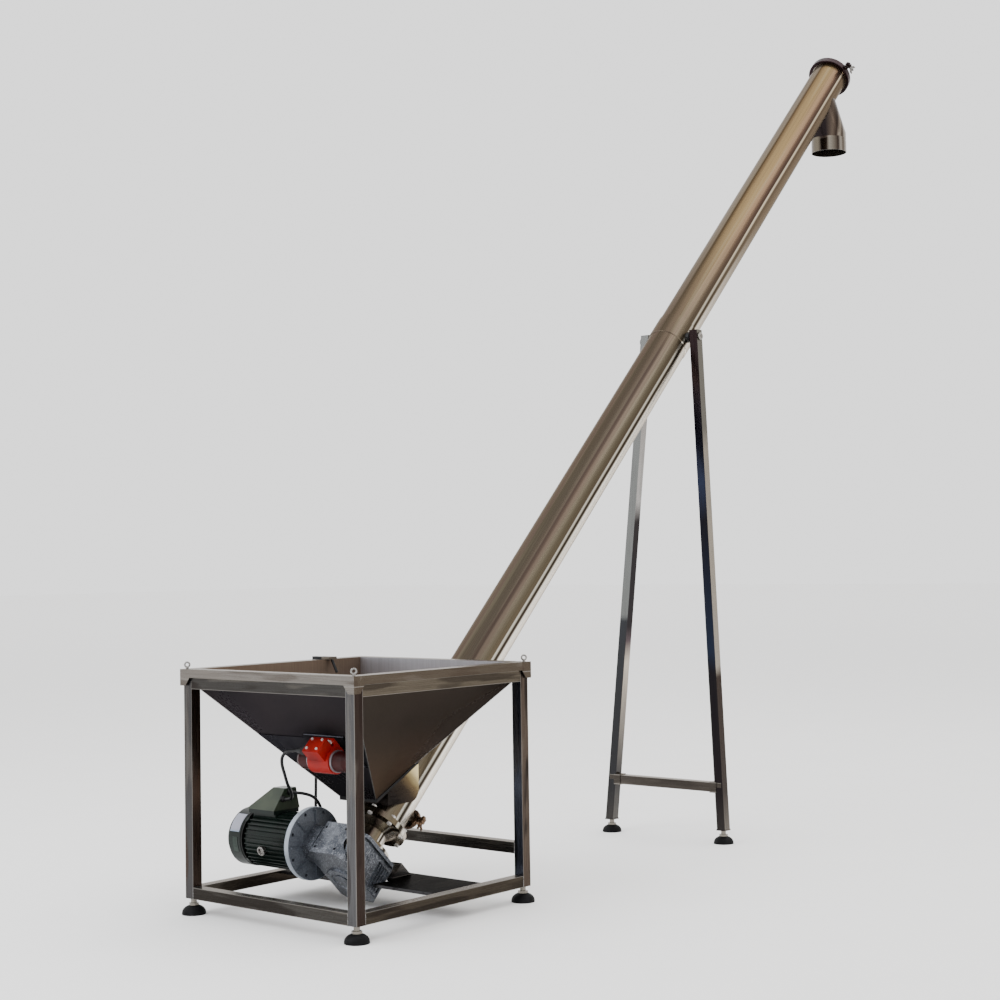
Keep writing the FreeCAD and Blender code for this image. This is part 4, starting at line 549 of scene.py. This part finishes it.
def dress_tube(node_name, seam=None):
    """Pipe steel with bands of painted reflection and highlight set out by the angle round the pipe's own
    axis.
    """
    finish = Finish(node_name + "_steel")
    side, off, along = finish.split(finish.mapped(turned=tube_turn, origin=tube_origin))
    angle = side.math("ARCTAN2", off, side) * (180 / math.pi)
    sway = finish.noise(finish.mapped((0.5, 0.5, 0.9), tube_turn, tube_origin), 1.0, 1.0)
    share = ((angle + band_start) * (1 / 360) + (sway - 0.5) * 0.02).fraction()
    hair = finish.noise(finish.mapped((55.0, 55.0, 0.8), tube_turn, tube_origin), 1.0, 2.0)
    tone = finish.blend(finish.clamp(along, golden_from, golden_full), finish.ramp(share, *lower_reflection_bands),
                        finish.ramp(share, *upper_reflection_bands))
    tone = finish.blend(finish.clamp(hair, 0.5, 0.66, 0.0, 0.3), tone, shade(96, 78, 68))
    tone = finish.blend(finish.clamp(hair, 0.34, 0.46, 0.2, 0.0), tone, shade(176, 166, 140))
    if seam:
        off_seam = (along - seam).magnitude()
        tone = finish.blend(finish.clamp(off_seam, 0.0012, 0.0026, 0.8, 0.0), tone, shade(48, 40, 36))
    finish.set(Base_Color=tone, Metallic=0.92, Roughness=finish.clamp(hair, 0.3, 0.7, 0.22, 0.32))
    finish.set(Normal=finish.bump(hair, 0.03, 0.0003), Specular_Tint=(0.5, 0.46, 0.42))
    wear(finish, node_name)


dress_tube("upper_tube", socket_seam)
for node_name in ("lower_tube", "end_cap", "bearing_housing", "auger_shaft", "auger_flights"):
    dress_tube(node_name)

# The outlet spout
# Thin pipe, mitred twice and welded, with a mirror polish; its upright bands are painted reflections.
spout_axis = tuple(spot(3730.1, 400.0, 0.0))
collar_top = 3.198
spout_steel = Finish("spout_steel")
spout_x, spout_y, spout_z = spout_steel.split(spout_steel.mapped(origin=spout_axis))
spout_angle = spout_x.math("ARCTAN2", spout_y, spout_x) * (180 / math.pi)
spout_share = ((spout_angle + 230.0) * (1 / 360)).fraction()
collar_tone = spout_steel.ramp(
    spout_share, (0.0, shade(128, 118, 104)), (0.11, shade(150, 140, 122)), (0.15, shade(60, 50, 46)),
    (0.2, shade(74, 62, 54)), (0.225, shade(176, 168, 154)), (0.27, shade(130, 120, 108)),
    (0.31, shade(58, 44, 38)), (0.34, shade(206, 198, 186)), (0.37, shade(122, 110, 98)),
    (0.42, shade(210, 204, 194)), (0.46, shade(96, 86, 76)), (0.5, shade(150, 142, 130)),
    (0.75, shade(84, 76, 68)), (1.0, shade(128, 118, 104)))
branch_tone = spout_steel.ramp(
    spout_share, (0.0, shade(58, 48, 46)), (0.2, shade(44, 36, 38)), (0.25, shade(112, 98, 86)),
    (0.29, shade(56, 42, 36)), (0.33, shade(190, 178, 162)), (0.36, shade(76, 60, 50)),
    (0.4, shade(218, 210, 198)), (0.45, shade(128, 114, 100)), (0.5, shade(170, 160, 146)),
    (0.75, shade(84, 76, 68)), (1.0, shade(58, 48, 46)))
on_branch = spout_steel.clamp(spout_z, collar_top - 0.002, collar_top + 0.002)
spout_hair = spout_steel.noise(spout_steel.mapped((60.0, 60.0, 2.0)), 1.0, 2.0)
spout_steel.set(Base_Color=spout_steel.blend(on_branch, collar_tone, branch_tone), Metallic=0.92,
                Roughness=spout_steel.clamp(spout_hair, 0.3, 0.7, 0.18, 0.28))
wear(spout_steel, "outlet_spout")

# Bolts, nuts, clamps and bearings
# Bright machined or plated steel. The clean-out's clamp is tarnished bronze brown, and
# the end clamp is stained dark.


def plain_metal(name, light, dark, roughness, metallic=0.95):
    """Machined, cast or plated metal with a fine even grain."""
    finish = Finish(name)
    speckle = finish.noise(finish.place, 260.0, 3.0)
    cloud = finish.noise(finish.place, 9.0, 2.0)
    tone = finish.clamp(speckle * 0.6 + cloud * 0.4, 0.34, 0.66)
    finish.set(Base_Color=finish.blend(tone, dark, light), Metallic=metallic,
               Roughness=finish.clamp(speckle, 0.3, 0.7, roughness - 0.05, roughness + 0.08))
    finish.set(Normal=finish.bump(speckle, 0.15, 0.0004))
    return finish


plated_bolts = plain_metal("plated_bolt_steel", glint(240, 238, 234), glint(190, 186, 182),
                           roughness=0.3, metallic=0.5)
wear(plated_bolts, "hex_bolts")
bright_steel = plain_metal("bright_steel", shade(214, 212, 208), shade(140, 136, 132), roughness=0.3)
for node_name in ("end_wing_nut", "lifting_eyes", "auger_bearings", "vibrator_bearings", "worm_shaft",
                  "motor_rotor", "vibrator_rotor"):
    wear(bright_steel, node_name)
bronzed_steel = plain_metal("bronzed_clamp_steel", shade(168, 138, 112), shade(78, 56, 42),
                            roughness=0.26)
for node_name in ("cleanout_cap", "cleanout_clamp", "cleanout_wing_nut"):
    wear(bronzed_steel, node_name)
clamp_steel = plain_metal("stained_clamp_steel", shade(78, 60, 62), shade(40, 27, 33), roughness=0.3)
for node_name in ("end_clamp_upper", "end_clamp_lower"):
    wear(clamp_steel, node_name)

# The support
# Two square-tube legs polished to a mirror, with a welded crossbar. They turn on pivot
# bolts beside the conveyor tube.
# The legs' upright bands, pale on the right faces and dark on the rear, are painted reflections.
leg_height = 2.12
between_legs = spot(0, 400, 0).y
hidden_side = shade(120, 116, 110)
leg_reflection_bands = {
    "far_rear": ((0.0, shade(84, 80, 76)), (0.09, shade(62, 62, 64)), (0.43, shade(74, 76, 80)),
                 (0.44, shade(150, 152, 150)), (1.0, shade(166, 168, 166))),
    "far_right": ((0.0, shade(130, 126, 120)), (0.11, shade(70, 68, 68)), (0.22, shade(168, 160, 150)),
                  (0.34, shade(250, 236, 216)), (0.39, shade(110, 92, 96)), (0.42, shade(40, 32, 36)),
                  (0.62, shade(50, 42, 44)), (0.66, shade(226, 222, 218))),
    "near_rear": ((0.0, shade(70, 66, 64)), (0.1, shade(40, 34, 36)), (0.33, shade(36, 32, 38)),
                  (0.36, shade(42, 52, 74)), (0.62, shade(30, 28, 38)), (0.7, shade(58, 66, 92)),
                  (0.9, shade(50, 36, 38))),
    "near_right": ((0.0, shade(140, 132, 122)), (0.1, shade(66, 54, 48)), (0.32, shade(78, 62, 54)),
                   (0.34, shade(226, 218, 204)), (0.76, shade(214, 206, 192)),
                   (0.8, shade(150, 148, 140))),
}


def dress_legs(node_name):
    """Mirror steel with painted reflections: long upright bands, pale on the right faces, dark on the rear.
    """
    finish = Finish(node_name + "_steel")
    rear_side, right_side = side_masks(finish)[:2]
    y, z = finish.split(finish.place)[1:]
    ripple = finish.noise(finish.mapped((6.0, 6.0, 3.0)), 1.0, 2.0)
    height = z * (1 / leg_height) + (ripple - 0.5) * 0.05
    far_leg = finish.clamp(y, between_legs - 0.001, between_legs + 0.001)
    rear = finish.blend(far_leg, finish.ramp(height, *leg_reflection_bands["near_rear"]),
                        finish.ramp(height, *leg_reflection_bands["far_rear"]))
    right = finish.blend(far_leg, finish.ramp(height, *leg_reflection_bands["near_right"]),
                         finish.ramp(height, *leg_reflection_bands["far_right"]))
    tone = finish.blend(rear_side, hidden_side, rear)
    tone = finish.blend(right_side, tone, right)
    hair = finish.noise(finish.mapped((120.0, 120.0, 3.0)), 1.0, 2.0)
    tone = finish.blend(finish.clamp(hair, 0.45, 0.65, 0.0, 0.14), tone, shade(60, 54, 50))
    finish.set(Base_Color=tone, Metallic=0.92, Roughness=finish.clamp(hair, 0.3, 0.7, 0.14, 0.24))
    wear(finish, node_name)


dress_legs("support_legs")
dress_legs("leg_plugs")
# The crossbar's side tones and streaks are painted light and reflection, its arris a painted highlight.
dress_rails("support_crossbar", rear=shade(92, 86, 80), right=shade(150, 144, 136),
            top=shade(214, 204, 190), dark_reflection_and_grain=shade(60, 54, 50), amount=0.4, middles=(0.225,))

# The drive
# A finned motor in dark green enamel with an olive terminal lid, on a cast gear box. Two
# turned flanges join them.
motor_axis = (317.7, 217.8)
flange_rim = 0.121


def painted(name, light, dark, roughness, coat):
    """Gloss paint over metal, with slight clouding and orange peel."""
    finish = Finish(name)
    cloud = finish.noise(finish.place, 9.0, 3.0, 0.5)
    peel = finish.noise(finish.place, 420.0, 2.0)
    finish.set(Base_Color=finish.blend(finish.clamp(cloud, 0.35, 0.65), dark, light),
               Roughness=finish.clamp(cloud, 0.3, 0.7, roughness - 0.05, roughness + 0.1),
               Coat_Weight=coat)
    finish.set(Normal=finish.bump(peel, 0.12, 0.0004), Specular_IOR_Level=0.16)
    return finish


green_enamel = painted("green_enamel", shade(26, 42, 36), shade(15, 28, 23), roughness=0.4, coat=0.1)
for node_name in ("motor_body", "fan_cover", "terminal_box"):
    wear(green_enamel, node_name)
olive_enamel = painted("olive_enamel", shade(84, 94, 76), shade(58, 72, 56), roughness=0.38, coat=0.2)
wear(olive_enamel, "terminal_lid")
cast_metal = Finish("cast_aluminium")
cast_speck = cast_metal.noise(cast_metal.place, 260.0, 3.0)
cast_cloud = cast_metal.noise(cast_metal.place, 26.0, 4.0, 0.62)
# Faces that look down are painted darker, as shade.
cast_underside_shade = cast_metal.clamp(cast_metal.split(cast_metal.facing)[2], -0.2, 0.5, 0.55, 0.0)
cast_tone = cast_metal.blend(cast_metal.clamp(cast_cloud, 0.38, 0.62), shade(112, 118, 129),
                             shade(166, 172, 183))
cast_tone = cast_metal.blend(cast_underside_shade, cast_tone, shade(46, 48, 54))
cast_tone = cast_metal.blend(cast_metal.clamp(cast_speck, 0.5, 0.7, 0.0, 0.4), cast_tone,
                             glint(206, 210, 218))
cast_metal.set(Base_Color=cast_tone, Metallic=0.85,
               Roughness=cast_metal.clamp(cast_speck, 0.3, 0.7, 0.28, 0.42))
cast_metal.set(Normal=cast_metal.bump(cast_speck, 0.2, 0.0005))
for node_name in ("gearbox_housing", "gearbox_covers"):
    wear(cast_metal, node_name)
disc_metal = Finish("turned_flange_metal")
disc_origin = tuple(spot(motor_axis[0], 0.0, motor_axis[1]))
disc_x, disc_z = disc_metal.split(disc_metal.mapped(origin=disc_origin))[::2]
disc_reach = (disc_x * disc_x + disc_z * disc_z).root()
# A thin ring at the flanges' rim is a painted highlight.
disc_rim_highlight = disc_metal.clamp(disc_reach, flange_rim - 0.0005, flange_rim + 0.0005)
disc_speck = disc_metal.noise(disc_metal.place, 180.0, 3.0)
disc_tone = disc_metal.blend(disc_metal.clamp(disc_speck, 0.3, 0.7), shade(112, 119, 130),
                             shade(140, 147, 158))
disc_metal.set(Base_Color=disc_metal.blend(disc_rim_highlight, disc_tone, glint(158, 166, 176)), Metallic=0.7,
               Roughness=disc_metal.clamp(disc_speck, 0.3, 0.7, 0.36, 0.48))
disc_metal.set(Normal=disc_metal.bump(disc_speck, 0.1, 0.0004))
for node_name in ("input_flange", "motor_flange"):
    wear(disc_metal, node_name)
worm_bronze = plain_metal("wheel_bronze", shade(190, 150, 90), shade(130, 96, 52), roughness=0.3)
wear(worm_bronze, "worm_wheel")
lamination = plain_metal("lamination_steel", shade(96, 96, 98), shade(60, 60, 62),
                         roughness=0.45, metallic=0.6)
wear(lamination, "motor_stator")

# The motor's end shield
# A cast disc that closes the barrel under the fan cover, with a bearing boss and a
# hole for the shaft.
shield_y, shield_radius, shield_depth = 772, 0.0975, 0.0078


def along_motor(middle_y, **sizes):
    """Add a cylinder about the motor's own axis."""
    bpy.ops.mesh.primitive_cylinder_add(location=spot(motor_axis[0], middle_y, motor_axis[1]),
                                        rotation=(math.radians(90), 0.0, 0.0), **sizes)
    return bpy.context.object


def settle(piece):
    """Put the piece's place into its mesh."""
    bpy.ops.object.transform_apply(location=True, rotation=True, scale=True)
    return piece


def on_axis(middle, normal):
    """Whether a face lies flat across the cylinder's own axis."""
    return abs(normal.z) > 0.9 and math.hypot(middle.x, middle.y) < 0.001


shield = along_motor(shield_y, vertices=72, radius=shield_radius, depth=shield_depth)
bpy.ops.object.mode_set(mode="EDIT")
for wide, rise in ((0.012, -0.001), (0.04, 0.0015), (0.028, 0.001)):
    choose(on_axis)
    bpy.ops.mesh.inset(thickness=wide, depth=rise)
choose(on_axis)
bpy.ops.mesh.bridge_edge_loops()
bpy.ops.object.mode_set(mode="OBJECT")
shield_enamel = painted("shield_enamel", shade(16, 24, 20), shade(8, 12, 10), roughness=0.45, coat=0.1)
fasten(settle(shield), "motor_end_shield", shield_enamel)

# The motor's plates
# A bare rating plate of pale anodised sheet, and below it a small bare badge. Both are
# stuck to the fan cover, and both are left blank.
cover_radius = 0.09905
plate_border = 0.0022


def cover_plate(name, middle_y, half, low_angle, high_angle, thickness, finish):
    """A thin curved plate that lies on the fan cover between two angles, with a raised border."""
    plate = along_motor(middle_y, vertices=180, radius=cover_radius, depth=2 * half,
                        end_fill_type="NOTHING")
    bpy.ops.object.mode_set(mode="EDIT")
    choose(lambda middle, normal:
           not low_angle < math.degrees(math.atan2(middle.y, -middle.x)) < high_angle)
    bpy.ops.mesh.delete(type="FACE")
    bpy.ops.object.mode_set(mode="OBJECT")
    wall = plate.modifiers.new("wall", "SOLIDIFY")
    wall.thickness = thickness
    wall.offset = 1.0
    bpy.ops.object.modifier_apply(modifier="wall")
    bpy.ops.object.mode_set(mode="EDIT")
    bpy.ops.mesh.select_all(action="SELECT")
    bpy.ops.mesh.normals_make_consistent(inside=False)
    choose(lambda middle, normal: abs(normal.z) < 0.5
           and normal.x * middle.x + normal.y * middle.y > 0.8 * math.hypot(middle.x, middle.y))
    bpy.ops.mesh.inset(thickness=plate_border, depth=0.0, use_boundary=True)
    bpy.ops.transform.resize(value=(0.9975, 0.9975, 1.0), center_override=plate.location)
    bpy.ops.object.mode_set(mode="OBJECT")
    fasten(settle(plate), name, finish)


plate_metal = Finish("bare_plate_metal")
plate_smear = plate_metal.noise(plate_metal.place, 60.0, 3.0)
plate_height = plate_metal.split(plate_metal.place)[2] + plate_smear * 0.01
plate_metal.set(Base_Color=plate_metal.blend(plate_metal.clamp(plate_height, 0.238, 0.262),
                                             shade(120, 170, 206), shade(206, 208, 226)),
                Metallic=0.3, Roughness=plate_metal.clamp(plate_smear, 0.3, 0.7, 0.34, 0.46))
cover_plate("rating_plate", middle_y=806, half=0.023, low_angle=16, high_angle=56, thickness=0.0008,
            finish=plate_metal)
badge_enamel = painted("badge_enamel", shade(64, 82, 72), shade(42, 58, 50), roughness=0.4, coat=0.1)
cover_plate("oval_badge", middle_y=800, half=0.012, low_angle=-24, high_angle=6, thickness=0.0012,
            finish=badge_enamel)

# The motor's earth ring
# A plated ring with a dark plug, screwed into the barrel between its fins.
ring_y = 672
barrel_radius = 0.0965
ring_angle = math.radians(-16)
ring_out = Vector((-math.cos(ring_angle), 0.0, math.sin(ring_angle)))
ring_place = spot(motor_axis[0], ring_y, motor_axis[1]) + ring_out * barrel_radius
bpy.ops.mesh.primitive_cylinder_add(vertices=32, radius=0.0165, depth=0.012, location=ring_place)
ring = bpy.context.object
ring.rotation_mode = "QUATERNION"
ring.rotation_quaternion = ring_out.to_track_quat("Z", "Y")
bpy.ops.object.mode_set(mode="EDIT")
choose(lambda middle, normal: normal.z > 0.9)
bpy.ops.mesh.inset(thickness=0.0015, depth=0.0015)
bpy.ops.mesh.inset(thickness=0.0045, depth=0.0)
bpy.ops.mesh.inset(thickness=0.0005, depth=-0.006)
bpy.ops.object.mode_set(mode="OBJECT")
ring_metal = plain_metal("ring_metal", shade(236, 232, 228), shade(150, 146, 144), roughness=0.28)
fasten(settle(ring), "motor_earth_ring", ring_metal)

# The vibrator
# A cast body in orange-red enamel, bolted to its plate on the hopper. Each maroon end cap
# has a bare metal ring.
orange_enamel = painted("orange_enamel", shade(196, 26, 14), shade(146, 12, 8),
                        roughness=0.44, coat=0.05)
wear(orange_enamel, "vibrator_body")
maroon_enamel = painted("maroon_enamel", shade(70, 14, 14), shade(44, 8, 10), roughness=0.44, coat=0.05)
vibrator_middle = tuple(spot(0.0, 312.0, 0.0))
cap_off = maroon_enamel.split(maroon_enamel.mapped(origin=vibrator_middle))[1].magnitude()
bare_ring = maroon_enamel.clamp(cap_off, 0.0558, 0.0562, 1.0, 0.0)
maroon_enamel.set(Base_Color=maroon_enamel.blend(bare_ring, maroon_enamel.tone(), shade(206, 208, 214)),
                  Metallic=bare_ring)
wear(maroon_enamel, "vibrator_end_caps")

# Gasket, glands and fan
# Moulded black rubber and plastic: the gasket under the hopper's outlet, the cable glands
# and the motor's fan.


def rubber(name, light, dark, roughness):
    """Moulded black rubber or plastic with a fine matt grain."""
    finish = Finish(name)
    grain = finish.noise(finish.place, 700.0, 2.0)
    scuff = finish.noise(finish.place, 16.0, 5.0, 0.65)
    finish.set(Base_Color=finish.blend(finish.clamp(scuff, 0.4, 0.7), dark, light),
               Roughness=finish.clamp(scuff, 0.3, 0.7, roughness + 0.08, roughness - 0.08))
    finish.set(Normal=finish.bump(grain, 0.2, 0.0003), Specular_IOR_Level=0.2)
    return finish


black_rubber = rubber("black_rubber", shade(30, 30, 32), shade(12, 12, 14), roughness=0.5)
for node_name in ("inlet_gasket", "cooling_fan", "cable_glands"):
    wear(black_rubber, node_name)

# The level probe
# A black plastic head outside the rim. Its clamp is bent steel where it grips the sheet.
clamp_height, head_reach = 0.0088, 0.057
probe_plastic = rubber("probe_plastic", shade(34, 34, 36), shade(14, 14, 16), roughness=0.45)
probe_y, probe_z = probe_plastic.split(probe_plastic.place)[1:]
probe_top, probe_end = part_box("level_probe")[1].z - clamp_height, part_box("level_probe")[1].y - head_reach
probe_clamp = (probe_plastic.clamp(probe_z, probe_top - 0.0001, probe_top + 0.0001)
               * probe_plastic.clamp(probe_y, probe_end - 0.0002, probe_end + 0.0002, 1.0, 0.0))
probe_tone = probe_plastic.blend(probe_clamp, probe_plastic.tone(), shade(150, 140, 128))
probe_plastic.set(Base_Color=probe_tone, Metallic=probe_clamp)
wear(probe_plastic, "level_probe")

# The feet
# Black rubber domes, 80 mm across, on plated M20 studs with a hexagon at the dome. The
# studs screw up into the posts and the support's legs.
dome_top = 0.03
foot_finish = Finish("foot_rubber_and_stud")
foot_metal = foot_finish.clamp(foot_finish.split(foot_finish.place)[2],
                               dome_top - 0.0002, dome_top + 0.0002)
foot_scuff = foot_finish.noise(foot_finish.place, 24.0, 4.0, 0.6)
foot_thread = foot_finish.node("ShaderNodeTexWave", {"bands_direction": "Z"},
                               {"Vector": foot_finish.place, "Scale": 130.0})
foot_dome = foot_finish.blend(foot_finish.clamp(foot_scuff, 0.4, 0.7), shade(12, 12, 14),
                              shade(32, 32, 34))
foot_stud = foot_finish.blend(foot_thread, shade(120, 112, 100), shade(206, 200, 190))
foot_finish.set(Base_Color=foot_finish.blend(foot_metal, foot_dome, foot_stud), Metallic=foot_metal,
                Roughness=foot_finish.clamp(foot_metal, 0.0, 1.0, 0.6, 0.24), Specular_IOR_Level=0.1)
for node_name in ("foot_rear_right", "foot_rear_left", "foot_front_right", "foot_front_left",
                  "foot_support_right", "foot_support_left"):
    wear(foot_finish, node_name)

# The pivots
# Plated bolt heads that hold the legs, each on a round black collar beside the tube.
collar_end = 0.148
pivot_finish = Finish("pivot_bolts_and_collars")
pivot_out = (pivot_finish.split(pivot_finish.place)[1] - between_legs).magnitude()
pivot_metal = pivot_finish.clamp(pivot_out, collar_end - 0.0002, collar_end + 0.0002)
pivot_speck = pivot_finish.clamp(pivot_finish.noise(pivot_finish.place, 300.0, 3.0), 0.3, 0.7)
pivot_collar = pivot_finish.blend(pivot_speck, shade(18, 18, 20), shade(36, 36, 38))
pivot_head = pivot_finish.blend(pivot_speck, shade(160, 156, 150), shade(214, 210, 204))
pivot_finish.set(Base_Color=pivot_finish.blend(pivot_metal, pivot_collar, pivot_head),
                 Metallic=pivot_metal, Roughness=0.32, Specular_IOR_Level=0.3)
wear(pivot_finish, "pivot_bolts")

# The vibrator's cable
# An 11 mm rubber cable out of the vibrator's gland, down in an S to the terminal box.
cable_diameter = 0.011
jacket = rubber("cable_jacket", shade(44, 44, 46), shade(18, 18, 20), roughness=0.42)


def cable(name, route, diameter):
    """A round black cable on one smooth line, from its gland to where it goes back in."""
    curve = bpy.data.curves.new(name, "CURVE")
    curve.dimensions = "3D"
    curve.bevel_depth = diameter / 2
    curve.bevel_resolution = 4
    curve.resolution_u = 8
    line = curve.splines.new("NURBS")
    line.points.add(len(route) - 1)
    for point, place in zip(line.points, route):
        point.co = (*spot(*place), 1.0)
    line.order_u = 3
    line.use_endpoint_u = True
    piece = bpy.data.objects.new(name, curve)
    bpy.context.collection.objects.link(piece)
    piece.data.materials.append(jacket.material)
    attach(piece, "frame")
    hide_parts(name.replace("_lead", "_cable"))


cable("vibrator_lead", [
    (132.0, 350, 554.7), (132.0, 430, 554.7), (140.0, 474, 533.7), (160.0, 500, 501.7), (192, 518, 460),
    (220, 538, 428), (262, 560, 388), (284, 584, 368), (295, 617, 360), (295, 643, 360),
], diameter=cable_diameter)

# The level probe's cable
# The same rubber cable, from the terminal box down behind the flange, over the base plate
# and up to the probe's clamp on the rim.
cable("sensor_lead", [
    (328, 643, 380), (328, 611, 380), (346, 584, 377), (376, 573, 364), (402, 573, 338),
    (422, 580, 300), (436, 590, 250), (442, 602, 194), (448, 618, 144), (464, 642, 106),
    (494, 674, 96.8), (528, 704, 96.8), (564, 738, 96.8), (596, 776, 97.5), (620, 812, 112),
    (632, 832, 150), (637, 838, 214), (638, 836, 330), (640, 834, 460), (639, 837, 590),
    (641, 834, 700), (640, 825, 753), (640, 825, 803),
], diameter=cable_diameter)

# The floor
# A wide pale floor that the object stands on. Far off it glows faintly, to meet the sky.
bpy.ops.mesh.primitive_plane_add(size=120.0, location=(0.0, 0.0, 0.0))
floor = bpy.context.object
floor.name = "floor"
pale = Finish("pale_floor")
speck = pale.noise(pale.place, 3.0, 2.0)
floor_x, floor_y = pale.split(pale.place)[:2]
floor_far = pale.clamp((floor_x * floor_x + floor_y * floor_y).root(), 5.0, 30.0)
pale.set(Base_Color=pale.blend(speck, (0.92, 0.92, 0.92), (0.95, 0.95, 0.95)), Roughness=0.7,
         Emission_Color=pale.blend(floor_far, (0.0, 0.0, 0.0), (0.09, 0.09, 0.09)),
         Emission_Strength=1.0)
floor.data.materials.append(pale.material)
